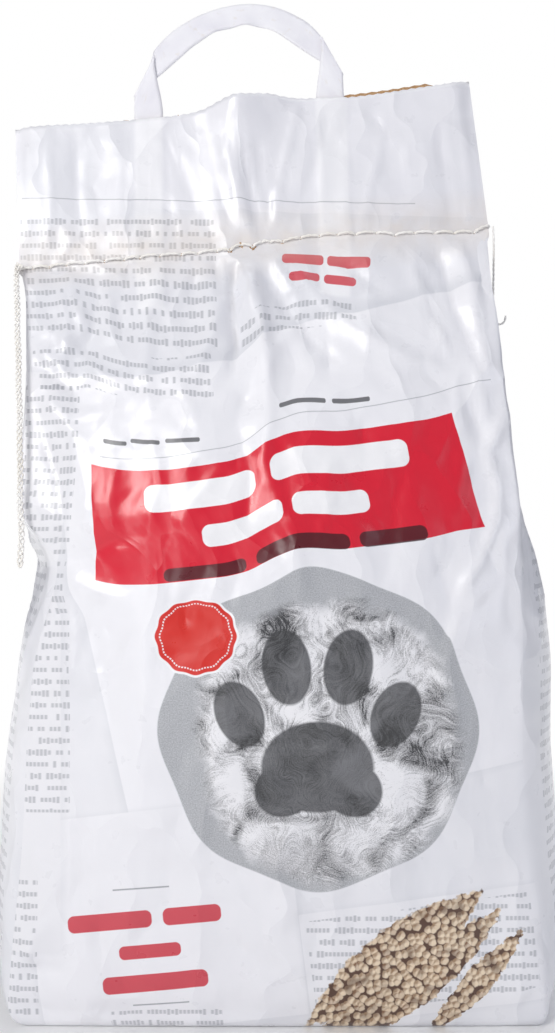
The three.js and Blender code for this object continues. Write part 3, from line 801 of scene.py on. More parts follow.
def make_sack(papers):
    """The paper sack: printed outer paper, and brown inner paper where the mouth shows it.

    Papers are the front's above the zone line and below it, the other panels' and the lining's.
    """
    points, smooth, heights = sack_grid()
    rows = len(points)
    seen = print_on_front(as_seen(smooth))
    ends = np.append(column_paper[1:], TUBE_WIDTH)
    next_heights = np.roll(heights, -1, axis=1)
    paper_near = np.stack((np.broadcast_to(column_paper, heights.shape), heights), axis=-1)
    paper_far = np.stack((np.broadcast_to(ends, heights.shape), next_heights), axis=-1)
    start = (np.array(PRINT_STARTS) - PANEL_PAPER[:4])[column_panel][None, :, None]
    shifted = np.concatenate((np.broadcast_to(start, heights.shape + (1,)),
                              np.zeros(heights.shape + (1,))), axis=-1)
    front = (column_panel == 0)[None, :, None]
    print_near = np.where(front, seen, paper_near + shifted)
    print_far = np.where(front, np.roll(seen, -1, axis=1), paper_far + shifted)
    faces = sack_faces(rows)
    maps = {"paper_place": corner_map(paper_near, paper_far),
            "print_place": corner_map(print_near, print_far)}
    # brown lining: the top rows again, inside, and a rim of cut paper
    top = points[-LINING_ROWS:]
    from_fold = np.minimum(column_share, 1 - column_share) * np.diff(PANEL_PAPER)[column_panel]
    # near the folds the leaves close up, so the lining thins there and stays between them
    thick = np.minimum(PAPER_THICKNESS, 0.012 * from_fold)
    leaf = np.clip(8 * (column_share - 0.5), -1, 1)
    inward = np.choose(column_panel, [np.ones(COLUMNS), leaf, -np.ones(COLUMNS), -leaf]) * thick
    inner = top + FLAP_BACK * inward[None, :, None]
    first = rows * COLUMNS
    # turned over but split along the same diagonals as the outer paper
    lining = sack_faces(LINING_ROWS)[:, [0, 3, 2, 1]] + first
    j = np.arange(COLUMNS)
    k = (j + 1) % COLUMNS
    outer_top = (rows - 1) * COLUMNS
    inner_top = first + (LINING_ROWS - 1) * COLUMNS
    rim = np.stack((outer_top + j, outer_top + k, inner_top + k, inner_top + j), axis=-1)
    all_faces = np.vstack((faces, lining, rim))
    brown = np.zeros((len(lining) + len(rim)) * 4)
    extra = np.stack((np.tile([0.0, 1.0, 1.0, 0.0], len(brown) // 4),
                      np.tile([0.0, 0.0, 1.0, 1.0], len(brown) // 4)), axis=-1)
    maps = {name: np.vstack((values, extra)) for name, values in maps.items()}
    # the front is printed with one set of inks above this line and with another below it
    middle = (seen[:-1] + seen[1:]) / 2
    lower = middle[..., 1] < ZONE_HEIGHT + ZONE_SLOPE * middle[..., 0]
    kinds = np.where(column_panel[None, :] > 0, 2, lower).ravel()
    kinds = np.concatenate((kinds, np.full(len(lining) + len(rim), 3)))
    sack = make_piece("sack_paper_tube", np.vstack((points.reshape(-1, 3), inner.reshape(-1, 3))),
                      all_faces, papers, kinds, maps)
    # the paper is creased sharply at its folds above the shoulder
    edges = np.empty(len(sack.data.edges) * 2, np.int32)
    sack.data.edges.foreach_get("vertices", edges)
    row, column = np.divmod(edges.reshape(-1, 2) % first, COLUMNS)
    fold_columns = [*PANEL_STARTS[:4], FRONT_CELLS + GUSSET_CELLS // 2, COLUMNS - GUSSET_CELLS // 2]
    folded = (column[:, 0] == column[:, 1]) & np.isin(column[:, 0], fold_columns)
    folded &= (row.min(axis=1) > 0.8 * BODY_ROWS) | (edges.reshape(-1, 2).min(axis=1) >= first)
    sack.data.edges.foreach_set("use_edge_sharp", folded)
    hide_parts("filled_sack")
    return points


# Printed outer paper: what lies on it, in millimetres on the print's own map

PAPER_WHITE = "#efeff3"
PAPER_SHADE = "#e6e7ec"
INK_RED = "#dc1430"
INK_SEAL_RED = "#d8261b"
INK_DARK_RED = "#430b16"
INK_DARK_GREY = "#3f4044"
INK_TICK_GREY = "#a2a4ab"
INK_SMALL_RED = "#d2283c"
INK_LOWER_RED = "#cf2a3e"
INK_RULE_GREY = "#a9abb0"
INK_SHORT_RULE_GREY = "#8f9297"
INK_WHITE = "#f7f7f9"
LEG_WHITE = "#fbfbfd"
SEAM_STAIN = "#dccbb6"
GRIT_TAN = "#c8a882"
GRIT_CREAM = "#e9d3b4"
GRIT_RUSTY = "#8f6a4c"
GRIT_LIT = "#f3e3cc"
GRIT_SHADED = "#7d5a40"
GRIT_BROWN = "#553829"

# Filled blocks: centre, size, turn in degrees, corner radius, soft edge, ink, strength.
# First the sheets printed under the rest, each a soft shade and then the sheet itself.
LARGE_SHEET = [
    ((22, 226), (266, 264), 13, 1, 9, "#d3d5db", 0.6),
    ((21, 224), (262, 262), 13, 1, 0.6, "#f2f2f6", 1),
]
LEFT_SHEET = [
    ((-136, 170), (38, 320), 0, 1, 5, "#dfe0e5", 0.5),
    ((-137, 170), (36, 320), 0, 1, 0.5, "#ededf1", 1),
]
UPPER_SHEETS = [
    ((20, 390), (330, 130), 0, 1, 30, "#e3e4ea", 0.6),
    ((34, 451), (214, 74), -1.5, 1, 7, "#d9dae0", 0.5),
    ((34, 452), (210, 70), -1.5, 1, 0.6, "#ececf1", 0.9),
    ((118, 440), (40, 60), 8, 1, 5, "#d9dae0", 0.4),
    *LARGE_SHEET,
    *LEFT_SHEET,
]
LOWER_SHEETS = [
    *LARGE_SHEET,
    ((-62, 27), (148, 124), 6.5, 1, 5, "#dcdde2", 0.55),
    ((-62, 28), (146, 122), 6.5, 1, 0.5, "#f1f1f5", 1),
    ((82, 8), (136, 66), 7.5, 1, 4, "#dedfe4", 0.5),
    ((82, 8), (134, 64), 7.5, 1, 0.5, "#efeff3", 1),
    *LEFT_SHEET,
]
# Then the band, bars and rules
UPPER_BLOCKS = [
    ((1.5, 262), (207, 64), 7.8, 0.3, 0.3, INK_RED, 1),
    ((-43, 272.5), (62, 15), 7.8, 5, 0.4, INK_WHITE, 1),
    ((35, 283), (78, 15), 7.8, 5, 0.4, INK_WHITE, 1),
    ((-19, 252), (44, 12.5), 7.8, 4.5, 0.4, INK_WHITE, 1),
    ((29, 258.5), (42, 12.5), 7.8, 4.5, 0.4, INK_WHITE, 1),
    ((-39, 229), (44, 8.5), 7.2, 3.5, 0.4, INK_DARK_RED, 0.92),
    ((13, 235.5), (50, 8.5), 7.2, 3.5, 0.4, INK_DARK_RED, 0.92),
    ((61, 241.5), (36, 8.5), 7.2, 3.5, 0.4, INK_DARK_RED, 0.92),
    ((-93, 296), (14, 2.4), 8, 1, 0.3, INK_DARK_GREY, 0.85),
    ((-75.5, 299.6), (17, 2.4), 4, 1, 0.3, INK_DARK_GREY, 0.85),
    ((-54, 302), (20, 2.4), 3, 1, 0.3, INK_DARK_GREY, 0.85),
    ((15, 313), (27, 2.6), 6, 1, 0.3, INK_DARK_GREY, 0.85),
    ((43, 316), (22, 2.6), 6, 1, 0.3, INK_DARK_GREY, 0.85),
    ((14, 391.8), (23, 5.6), -2, 2, 0.3, INK_SMALL_RED, 0.9),
    ((39.5, 391), (24, 5.6), -2, 2, 0.3, INK_SMALL_RED, 0.9),
    ((15, 381.5), (17, 5), -2, 2, 0.3, INK_SMALL_RED, 0.9),
    ((35, 380.8), (18, 5), -2, 2, 0.3, INK_SMALL_RED, 0.9),
    ((-32.5, 424), (217, 0.5), -0.7, 0.1, 0.25, INK_RULE_GREY, 0.8),
    ((11, 305.5), (228, 0.5), 10, 0.1, 0.25, INK_RULE_GREY, 0.8),
]
LOWER_BLOCKS = [
    ((-92, 27), (46, 9.5), 5, 3.5, 0.4, INK_LOWER_RED, 0.95),
    ((-47, 31), (32, 9.5), 5, 3.5, 0.4, INK_LOWER_RED, 0.95),
    ((-70, 11), (34, 7.5), 5, 3, 0.4, INK_LOWER_RED, 0.95),
    ((-67, -6), (58, 9.5), 5, 3.5, 0.4, INK_LOWER_RED, 0.95),
    ((-75, 45.4), (31, 0.8), 4, 0.1, 0.25, INK_SHORT_RULE_GREY, 0.9),
    ((-64, -18), (31, 0.8), 4, 0.1, 0.25, INK_SHORT_RULE_GREY, 0.9),
]
BACK_BLOCKS = [
    ((730, 262), (206, 52), 0, 0.3, 0.3, INK_RED, 1),
    ((700, 270), (92, 13), 0, 5, 0.4, INK_WHITE, 1),
    ((782, 270), (54, 13), 0, 5, 0.4, INK_WHITE, 1),
    ((722, 249), (120, 8), 0, 3, 0.4, INK_DARK_RED, 0.92),
    ((730, 424), (240, 0.5), 0, 0.1, 0.25, INK_RULE_GREY, 0.8),
    ((730, 60), (230, 0.5), 0, 0.1, 0.25, INK_RULE_GREY, 0.8),
]
# Blocks of small ticks in rows: centre, size, turn in degrees
LEFT_TICKS = ((-129, 205), (30, 236), 0)
UPPER_TICKS = [
    ((-88, 383), (108, 66), 0),
    ((-88, 334), (102, 22), 4),
    ((12, 361), (66, 14), 6),
    LEFT_TICKS,
]
LOWER_TICKS = [
    ((80, 9), (124, 53), 7.5),
    LEFT_TICKS,
    ((-141, 12), (19, 76), 0),
    ((-61, -27), (62, 12), 4),
]
BACK_TICKS = [
    ((456, 160), (84, 230), 0),
    ((456, 360), (84, 60), 0),
    ((1056, 160), (84, 230), 0),
    ((1056, 360), (84, 60), 0),
    ((730, 150), (200, 130), 0),
    ((730, 360), (200, 60), 0),
]
# The legs' bands and the seam's stain: middle, size, turn in degrees
LEG_BANDS = [((-71, 424), (15, 112), 0), ((31, 428), (17, 112), 1.5)]
FRONT_STAIN = ((-13, 402), (262, 9), 4.5)
BACK_STAIN = ((730, 419), (262, 9), 0)
ROW_PITCH = 6.5
TICK_PITCH = 2.2
SCALLOP_DEPTH = 0.022
SEAL_SCALLOPS = 12
SEAL_DOTS = 72
SEAL_PLACE = (-45, 184)
PICTURE_PLACE = (22.4, 132.7)
PICTURE_RADIUS = 86.5
# Paw print's pads: place, half size, turn in degrees
PAW_PADS = [
    ((22, 112), (31, 25), 0), ((4, 100), (17, 15), 25), ((41, 100), (17, 15), -25),
    ((-21, 141), (13, 19), 24), ((5, 167), (13.5, 21), 8), ((39, 167), (13.5, 21), -8),
    ((65, 141), (13, 19), -24),
]
GRAIN_SIZE = 3.8
# Heaps of printed granules: place, half size, turn in degrees
GRIT_LOBES = [
    ((67, 9.5), (62, 16.5), 38), ((86, 0), (55, 10.5), 43), ((112, -4), (40, 7.5), 49),
    ((74.3, 20), (25, 6.5), 50), ((46, -24), (24, 6), 21), ((62, -22), (34, 7), 30),
]


def block_ink(tree, place, centre, size, turn, corner, soft):
    """Where a rounded block is printed: 1 inside it and 0 outside."""
    local = add_node(tree, "Mapping", {
        "Vector": place, "Location": (*centre, 0), "Rotation": (0, 0, math.radians(turn))},
        vector_type="TEXTURE")
    folded = add_node(tree, "VectorMath", {0: local}, operation="ABSOLUTE")
    past = add_node(tree, "VectorMath", {0: folded, 1: (size[0] / 2 - corner, size[1] / 2 - corner, 0)},
                    operation="SUBTRACT")
    outside = add_node(tree, "VectorMath", {0: past, 1: (0, 0, 0)}, operation="MAXIMUM")
    reach = add_node(tree, "VectorMath", {0: outside}, out=1, operation="LENGTH")
    return add_node(tree, "MapRange", {"Value": reach, 1: corner + soft / 2, 2: corner - soft / 2})


def round_ink(tree, place, centre, half_size, turn=0, soft=0.01, scallops=0, pointed=False):
    """Where a round or oval spot is printed; its edge may have shallow scallops or pointed ends."""
    local = add_node(tree, "Mapping", {
        "Vector": place, "Location": (*centre, 0), "Rotation": (0, 0, math.radians(turn)),
        "Scale": (*half_size, 1)}, vector_type="TEXTURE")
    reach = add_node(tree, "VectorMath", {0: local}, out=1, operation="LENGTH")
    if pointed:
        parts = add_node(tree, "SeparateXYZ", {0: local}, out=None)
        high = add_node(tree, "Math", {0: parts.outputs[1]}, operation="ABSOLUTE")
        reach = add_node(tree, "Math", {0: parts.outputs[0], 1: parts.outputs[0], 2: high},
                         operation="MULTIPLY_ADD")
    if scallops:
        parts = add_node(tree, "SeparateXYZ", {0: local}, out=None)
        angle = add_node(tree, "Math", {0: parts.outputs[1], 1: parts.outputs[0]}, operation="ARCTAN2")
        wave = add_node(tree, "Math", {0: angle, 1: scallops}, operation="MULTIPLY")
        wave = add_node(tree, "Math", {0: wave}, operation="COSINE")
        reach = add_node(tree, "Math", {0: wave, 1: -SCALLOP_DEPTH, 2: reach},
                         operation="MULTIPLY_ADD")
    return add_node(tree, "MapRange", {"Value": reach, 1: 1 + soft, 2: 1 - soft})


def lay_ink(tree, colour, ink, where, strength=1.0):
    """Prints an ink over the colour below it."""
    if strength != 1:
        where = add_node(tree, "Math", {0: where, 1: strength}, operation="MULTIPLY")
    ink = linear(ink) if isinstance(ink, str) else ink
    return add_node(tree, "Mix", {0: where, 6: colour, 7: ink}, out=2, data_type="RGBA")


def rows_of_ticks(tree, place):
    """Rows of plain ticks in uneven runs, as grey as small print looks from a step away."""
    parts = add_node(tree, "SeparateXYZ", {0: place}, out=None)
    row = add_node(tree, "Math", {0: parts.outputs[1], 1: ROW_PITCH}, operation="DIVIDE")
    line = add_node(tree, "Math", {0: row}, operation="FLOOR")
    height = add_node(tree, "Math", {0: row}, operation="FRACT")
    stagger = add_node(tree, "Math", {0: line, 1: 17.3}, operation="MULTIPLY")
    ticks = add_node(tree, "Math", {0: parts.outputs[0], 1: TICK_PITCH}, operation="DIVIDE")
    tick = add_node(tree, "Math", {0: ticks, 1: stagger}, operation="ADD")
    cell = add_node(tree, "Math", {0: tick}, operation="FLOOR")
    key = add_node(tree, "CombineXYZ", {0: cell, 1: line})
    chance = add_node(tree, "TexWhiteNoise", {"Vector": key}, out=None, noise_dimensions="2D")
    run = add_node(tree, "Math", {0: chance.outputs[0], 1: 0.17}, operation="GREATER_THAN")
    # ticks are 1.2 mm wide on a paler run, 1 mm apart, and 2.3 to 3.5 mm high
    across = add_node(tree, "Math", {0: tick}, operation="FRACT")
    apart = add_node(tree, "Math", {0: across, 1: 0.5, 2: 0.28}, operation="COMPARE")
    tall = add_node(tree, "MapRange", {"Value": chance.outputs[0], 1: 0.7, 2: 0.75, 3: 0.18, 4: 0.27})
    body = add_node(tree, "Math", {0: height, 1: 0.45, 2: tall}, operation="COMPARE")
    marks = add_node(tree, "Math", {0: run, 1: body}, operation="MULTIPLY")
    full_ink = add_node(tree, "Math", {0: apart, 1: 0.6, 2: 0.4}, operation="MULTIPLY_ADD")
    return add_node(tree, "Math", {0: marks, 1: full_ink}, operation="MULTIPLY")


def lay_blocks(tree, place, colour, blocks):
    """Prints a list of blocks, one over the other."""
    for centre, size, turn, corner, soft, ink, strength in blocks:
        where = block_ink(tree, place, centre, size, turn, corner, soft)
        colour = lay_ink(tree, colour, ink, where, strength)
    return colour


def lay_legs(tree, place, colour):
    """The handle's legs lie behind the paper and show through as whiter bands."""
    for centre, size, turn in LEG_BANDS:
        band = block_ink(tree, place, centre, size, turn, 1, 2.4)
        colour = lay_ink(tree, colour, LEG_WHITE, band, 0.7)
    return colour


def lay_picture(tree, place, colour):
    """A round picture: a soft coat of hair in light and dark greys, under a plain paw print."""
    around = add_node(tree, "VectorMath", {0: place, 1: (12, 60, 0)}, operation="SUBTRACT")
    flow = add_node(tree, "TexNoise", {"Vector": place, "Scale": 1 / 45, "Detail": 2}, out=1)
    flow = add_node(tree, "VectorMath", {0: flow, 1: (0.5, 0.5, 0)}, operation="SUBTRACT")
    around = add_node(tree, "VectorMath", {0: flow, 1: (120, 80, 0), 2: around},
                      operation="MULTIPLY_ADD")
    parts = add_node(tree, "SeparateXYZ", {0: around}, out=None)
    angle = add_node(tree, "Math", {0: parts.outputs[1], 1: parts.outputs[0]}, operation="ARCTAN2")
    reach = add_node(tree, "VectorMath", {0: around}, out=1, operation="LENGTH")
    # hairs are 0.1 mm thick, drawn in locks of about 1.5 mm so that they show
    locks = add_node(tree, "Math", {0: angle, 1: 46}, operation="MULTIPLY")
    lengths = add_node(tree, "Math", {0: reach, 1: 1 / 11}, operation="MULTIPLY")
    strokes = add_node(tree, "CombineXYZ", {0: locks, 1: lengths})
    hair = add_node(tree, "TexNoise", {"Vector": strokes, "Scale": 1, "Detail": 4, "Roughness": 0.75,
                                       "Distortion": 0.15})
    patches = add_node(tree, "TexNoise", {"Vector": place, "Scale": 1 / 34, "Detail": 3,
                                          "Distortion": 1.2})
    grain = add_node(tree, "TexNoise", {"Vector": place, "Scale": 1 / 0.7, "Detail": 1})
    coat = add_node(tree, "Math", {0: hair, 1: 0.75, 2: patches}, operation="MULTIPLY_ADD")
    coat = add_node(tree, "Math", {0: grain, 1: 0.35, 2: coat}, operation="MULTIPLY_ADD")
    tone = add_node(tree, "MapRange", {"Value": coat, 1: 0.82, 2: 1.16})
    fur = add_node(tree, "Mix", {0: tone, 6: linear("#333438"), 7: linear("#f0f0f3")},
                   out=2, data_type="RGBA")
    plain = add_node(tree, "MapRange", {"Value": grain, 1: 0.3, 2: 0.7})
    ground = add_node(tree, "Mix", {0: plain, 6: linear("#a3a5a9"), 7: linear("#c3c5c9")},
                      out=2, data_type="RGBA")
    picture = round_ink(tree, place, PICTURE_PLACE, (PICTURE_RADIUS, PICTURE_RADIUS * 1.01), 0, 0.004,
                        8)
    colour = lay_ink(tree, colour, ground, picture)
    ragged = add_node(tree, "TexNoise", {"Vector": place, "Scale": 1 / 12, "Detail": 3}, out=1)
    ragged = add_node(tree, "VectorMath", {0: ragged, 1: (16, 16, 0), 2: place},
                      operation="MULTIPLY_ADD")
    inner = block_ink(tree, ragged, (PICTURE_PLACE[0] + 14, PICTURE_PLACE[1] + 2), (140, 152), 12, 64,
                      8)
    inner = add_node(tree, "Math", {0: inner, 1: picture}, operation="MULTIPLY")
    colour = lay_ink(tree, colour, fur, inner)
    paw = round_ink(tree, place, *PAW_PADS[0], 0.03)
    for centre, half, turn in PAW_PADS[1:]:
        pad = round_ink(tree, place, centre, half, turn, 0.04)
        paw = add_node(tree, "Math", {0: paw, 1: pad}, operation="MAXIMUM")
    dark = add_node(tree, "MapRange", {"Value": coat, 1: 0.8, 2: 1.3})
    pads = add_node(tree, "Mix", {0: dark, 6: linear("#28292c"), 7: linear("#6b6c70")},
                    out=2, data_type="RGBA")
    return lay_ink(tree, colour, pads, paw, 0.95)


def lay_seal(tree, place, colour):
    """A scalloped red seal with a white rim, and a fine ring of dots inside it."""
    seal, inside, ring, ring_hole = (
        round_ink(tree, place, SEAL_PLACE, half_size, 0, 0.01, SEAL_SCALLOPS)
        for half_size in ((23.5, 22.3), (22.2, 21), (19.9, 18.8), (19.1, 18)))
    colour = lay_ink(tree, colour, INK_WHITE, seal)
    colour = lay_ink(tree, colour, INK_SEAL_RED, inside)
    ring = add_node(tree, "Math", {0: ring, 1: ring_hole}, operation="SUBTRACT")
    turned = add_node(tree, "VectorMath", {0: place, 1: (*SEAL_PLACE, 0)}, operation="SUBTRACT")
    parts = add_node(tree, "SeparateXYZ", {0: turned}, out=None)
    dots = add_node(tree, "Math", {0: parts.outputs[1], 1: parts.outputs[0]}, operation="ARCTAN2")
    dots = add_node(tree, "Math", {0: dots, 1: SEAL_DOTS / (2 * math.pi)}, operation="MULTIPLY")
    dots = add_node(tree, "Math", {0: dots}, operation="FRACT")
    dots = add_node(tree, "Math", {0: dots, 1: 0.62}, operation="LESS_THAN")
    ring = add_node(tree, "Math", {0: ring, 1: dots}, operation="MULTIPLY")
    return lay_ink(tree, colour, INK_WHITE, ring, 0.9)


def lay_heaps(tree, place, colour):
    """Heaps of litter granules in the lower right corner, with grains about 4 mm across."""
    shaped = add_node(tree, "TexNoise", {"Vector": place, "Scale": 1 / 3, "Detail": 1}, out=1)
    shaped = add_node(tree, "VectorMath", {0: shaped, 1: (1.6, 1.6, 0), 2: place},
                      operation="MULTIPLY_ADD")
    grain_cell = add_node(tree, "TexVoronoi", {"Vector": shaped, "Scale": 1 / GRAIN_SIZE}, out=None,
                          voronoi_dimensions="2D")
    # drawn light falls from the upper left, so each grain has a pale and a dark side
    moved = add_node(tree, "VectorMath", {0: shaped, 1: (0.7, -0.7, 0)}, operation="ADD")
    moved = add_node(tree, "TexVoronoi", {"Vector": moved, "Scale": 1 / GRAIN_SIZE}, out=0,
                     voronoi_dimensions="2D")
    side = add_node(tree, "Math", {0: grain_cell.outputs[0], 1: moved}, operation="SUBTRACT")
    side = add_node(tree, "MapRange", {"Value": side, 1: -0.2, 2: 0.2})
    shade = add_node(tree, "SeparateXYZ", {0: grain_cell.outputs[1]}, out=None)
    mixed = add_node(tree, "Mix", {0: shade.outputs[0], 6: linear(GRIT_TAN), 7: linear(GRIT_CREAM)},
                     out=2, data_type="RGBA")
    rare = add_node(tree, "MapRange", {"Value": shade.outputs[1], 1: 0.8, 2: 0.9})
    mixed = add_node(tree, "Mix", {0: rare, 6: mixed, 7: linear(GRIT_RUSTY)}, out=2, data_type="RGBA")
    lit = add_node(tree, "Mix", {0: side, 6: linear(GRIT_LIT), 7: linear(GRIT_SHADED)}, out=2,
                   data_type="RGBA")
    mixed = add_node(tree, "Mix", {0: 0.6, 6: mixed, 7: lit}, out=2, data_type="RGBA")
    gap = add_node(tree, "MapRange", {"Value": grain_cell.outputs[0], 1: 0.5, 2: 0.68})
    shadow = add_node(tree, "TexNoise", {"Vector": place, "Scale": 1 / 14, "Detail": 2})
    shadow = add_node(tree, "MapRange", {"Value": shadow, 1: 0.55, 2: 0.7, 3: 0, 4: 0.7})
    gap = add_node(tree, "Math", {0: gap, 1: shadow}, operation="MAXIMUM")
    grit = add_node(tree, "Mix", {0: gap, 6: mixed, 7: linear(GRIT_BROWN)}, out=2, data_type="RGBA")
    ragged = add_node(tree, "TexNoise", {"Vector": place, "Scale": 1 / 4, "Detail": 2}, out=1)
    shaken = add_node(tree, "VectorMath", {0: ragged, 1: (6, 6, 0), 2: place}, operation="MULTIPLY_ADD")
    heap = round_ink(tree, shaken, *GRIT_LOBES[0], 0.03, pointed=True)
    for centre, half, turn in GRIT_LOBES[1:]:
        lobe = round_ink(tree, shaken, centre, half, turn, 0.03, pointed=True)
        heap = add_node(tree, "Math", {0: heap, 1: lobe}, operation="MAXIMUM")
    return lay_ink(tree, colour, grit, heap)


def printed_paper(name, sheets, ticks, blocks, picture=False, stain_place=None):
    """Clay-coated white kraft paper, gravure printed: softly glossy, with crisp flat inks.

    Each zone of the sack has its own paper material with only the inks that lie in that zone.
    """
    material, tree = new_material(name)
    print_map = add_node(tree, "UVMap", uv_map="print_place")
    place = add_node(tree, "VectorMath", {0: print_map, 3: 1000}, operation="SCALE")
    paper_map = add_node(tree, "UVMap", uv_map="paper_place")
    sheet = add_node(tree, "VectorMath", {0: paper_map, 3: 1000}, operation="SCALE")
    # coating weight changes over 60 mm or so
    cloud = add_node(tree, "TexNoise", {"Vector": sheet, "Scale": 1 / 60, "Detail": 3})
    tone = add_node(tree, "MapRange", {"Value": cloud, 1: 0.35, 2: 0.7})
    colour = add_node(tree, "Mix", {0: tone, 6: linear(PAPER_WHITE), 7: linear(PAPER_SHADE)},
                      out=2, data_type="RGBA")
    colour = lay_blocks(tree, place, colour, sheets)
    if stain_place == FRONT_STAIN:
        colour = lay_legs(tree, place, colour)
    rows = rows_of_ticks(tree, place)
    for centre, size, turn in ticks:
        where = block_ink(tree, place, centre, size, turn, 1, 0.3)
        inked = add_node(tree, "Math", {0: where, 1: rows}, operation="MULTIPLY")
        colour = lay_ink(tree, colour, INK_TICK_GREY, inked, 0.62)
    if picture:
        colour = lay_picture(tree, place, colour)
        colour = lay_seal(tree, place, colour)
    colour = lay_blocks(tree, place, colour, blocks)
    if picture:
        colour = lay_heaps(tree, place, colour)
    patchy = add_node(tree, "TexNoise", {"Vector": sheet, "Scale": 1 / 12, "Detail": 3})
    if stain_place:
        # warm stain of machine oil and dust along the seam
        stain = block_ink(tree, place, *stain_place, 3, 32)
        spread = add_node(tree, "MapRange", {"Value": patchy, 1: 0.25, 2: 0.65, 3: 0.35, 4: 1})
        stain = add_node(tree, "Math", {0: stain, 1: spread}, operation="MULTIPLY")
        colour = lay_ink(tree, colour, SEAM_STAIN, stain, 0.6)
    # gloss: the coating is uneven, and handling has dulled it in places
    dull = add_node(tree, "MapRange", {"Value": patchy, 1: 0.3, 2: 0.7, 3: 0.26, 4: 0.4})
    # handling wrinkles 16 mm apart, and fibres of 0.9 mm, drawn coarser than real ones to show
    drawn = add_node(tree, "Mapping", {"Vector": sheet, "Scale": (1, 0.45, 1)})
    wrinkle = add_node(tree, "TexNoise", {"Vector": drawn, "Scale": 1 / 16, "Detail": 3,
                                          "Roughness": 0.5, "Distortion": 0.6},
                       noise_type="RIDGED_MULTIFRACTAL", normalize=True)
    fibre = add_node(tree, "TexNoise", {"Vector": sheet, "Scale": 1 / 0.9, "Detail": 2})
    # flat facets 34 mm across and twice as tall, and smaller ones of 13 mm, with sharp fold lines
    # between them, as in paper that was bent and smoothed
    strayed = add_node(tree, "TexNoise", {"Vector": sheet, "Scale": 1 / 30, "Detail": 1}, out=1)
    strayed = add_node(tree, "VectorMath", {0: strayed, 1: (26, 26, 0), 2: drawn},
                       operation="MULTIPLY_ADD")
    facet = add_node(tree, "TexVoronoi", {"Vector": strayed, "Scale": 1 / 34}, out=0,
                     voronoi_dimensions="2D")
    facet_small = add_node(tree, "TexVoronoi", {"Vector": strayed, "Scale": 1 / 13}, out=0,
                           voronoi_dimensions="2D")
    facets = add_node(tree, "Math", {0: facet_small, 1: 0.093, 2: facet}, operation="MULTIPLY_ADD")
    relief = add_node(tree, "Bump", {"Height": facets, "Strength": 1.0, "Distance": 0.0045})
    relief = add_node(tree, "Bump", {"Height": wrinkle, "Strength": 0.6, "Distance": 0.0010,
                                     "Normal": relief})
    relief = add_node(tree, "Bump", {"Height": fibre, "Strength": 0.12, "Distance": 0.0001,
                                     "Normal": relief})
    shader = add_node(tree, "BsdfPrincipled", {
        "Base Color": colour, "Roughness": dull, "IOR": 1.5, "Normal": relief,
        "Coat Weight": 0.4, "Coat Roughness": 0.15, "Coat IOR": 1.5})
    add_node(tree, "OutputMaterial", {"Surface": shader}, out=None)
    return material


def brown_kraft():
    """Unbleached kraft paper, machine finished: warm brown, matt, with darker and lighter fibres."""
    material, tree = new_material("unbleached_kraft_paper")
    place = add_node(tree, "TexCoord", out=3)
    # fibres about 1 mm long
    fibres = add_node(tree, "TexNoise", {"Vector": place, "Scale": 900, "Detail": 3})
    spread = add_node(tree, "MapRange", {"Value": fibres, 1: 0.3, 2: 0.7})
    colour = add_node(tree, "Mix", {0: spread, 6: linear("#a67c52"), 7: linear("#c9a276")},
                      out=2, data_type="RGBA")
    relief = add_node(tree, "Bump", {"Height": fibres, "Strength": 0.3, "Distance": 0.0002})
    shader = add_node(tree, "BsdfPrincipled", {
        "Base Color": colour, "Roughness": 0.85, "IOR": 1.5, "Normal": relief})
    add_node(tree, "OutputMaterial", {"Surface": shader}, out=None)
    return material


def tape_paper():
    """Bleached kraft tape, laminated and calendered: smooth, cool white, faint cross creases."""
    material, tree = new_material("calendered_bleached_paper_tape")
    tape_map = add_node(tree, "UVMap", uv_map="tape_place")
    sheet = add_node(tree, "VectorMath", {0: tape_map, 3: 1000}, operation="SCALE")
    cloud = add_node(tree, "TexNoise", {"Vector": sheet, "Scale": 1 / 22, "Detail": 3})
    tone = add_node(tree, "MapRange", {"Value": cloud, 1: 0.35, 2: 0.7})
    colour = add_node(tree, "Mix", {0: tone, 6: linear("#f4f4f8"), 7: linear("#e9e8ef")},
                      out=2, data_type="RGBA")
    # touch marks 5 mm across, and cross creases 3.5 mm apart
    smear = add_node(tree, "TexNoise", {"Vector": sheet, "Scale": 1 / 5, "Detail": 4})
    smear = add_node(tree, "MapRange", {"Value": smear, 1: 0.6, 2: 0.8})
    colour = lay_ink(tree, colour, "#dcd3c6", smear, 0.5)
    ribs = add_node(tree, "Mapping", {"Vector": sheet, "Scale": (1, 0.2, 1)})
    crease_noise = add_node(tree, "TexNoise", {"Vector": ribs, "Scale": 1 / 3.5, "Detail": 3})
    relief = add_node(tree, "Bump", {"Height": crease_noise, "Strength": 0.3, "Distance": 0.0003})
    shader = add_node(tree, "BsdfPrincipled", {
        "Base Color": colour, "Roughness": 0.5, "IOR": 1.5, "Normal": relief})
    add_node(tree, "OutputMaterial", {"Surface": shader}, out=None)
    return material


UPPER_PAPER = printed_paper("clay_coated_kraft_paper_gravure_printed_upper_front", UPPER_SHEETS,
                            UPPER_TICKS, UPPER_BLOCKS, stain_place=FRONT_STAIN)
LOWER_PAPER = printed_paper("clay_coated_kraft_paper_gravure_printed_lower_front", LOWER_SHEETS,
                            LOWER_TICKS, LOWER_BLOCKS, picture=True)
BACK_PAPER = printed_paper("clay_coated_kraft_paper_gravure_printed_back", [], BACK_TICKS,
                           BACK_BLOCKS, stain_place=BACK_STAIN)
BROWN_KRAFT = brown_kraft()
TAPE_PAPER = tape_paper()

sack_points = make_sack([UPPER_PAPER, LOWER_PAPER, BACK_PAPER, BROWN_KRAFT])


# Block bottom: the tube's end folded in and glued, with its two long flaps overlapping

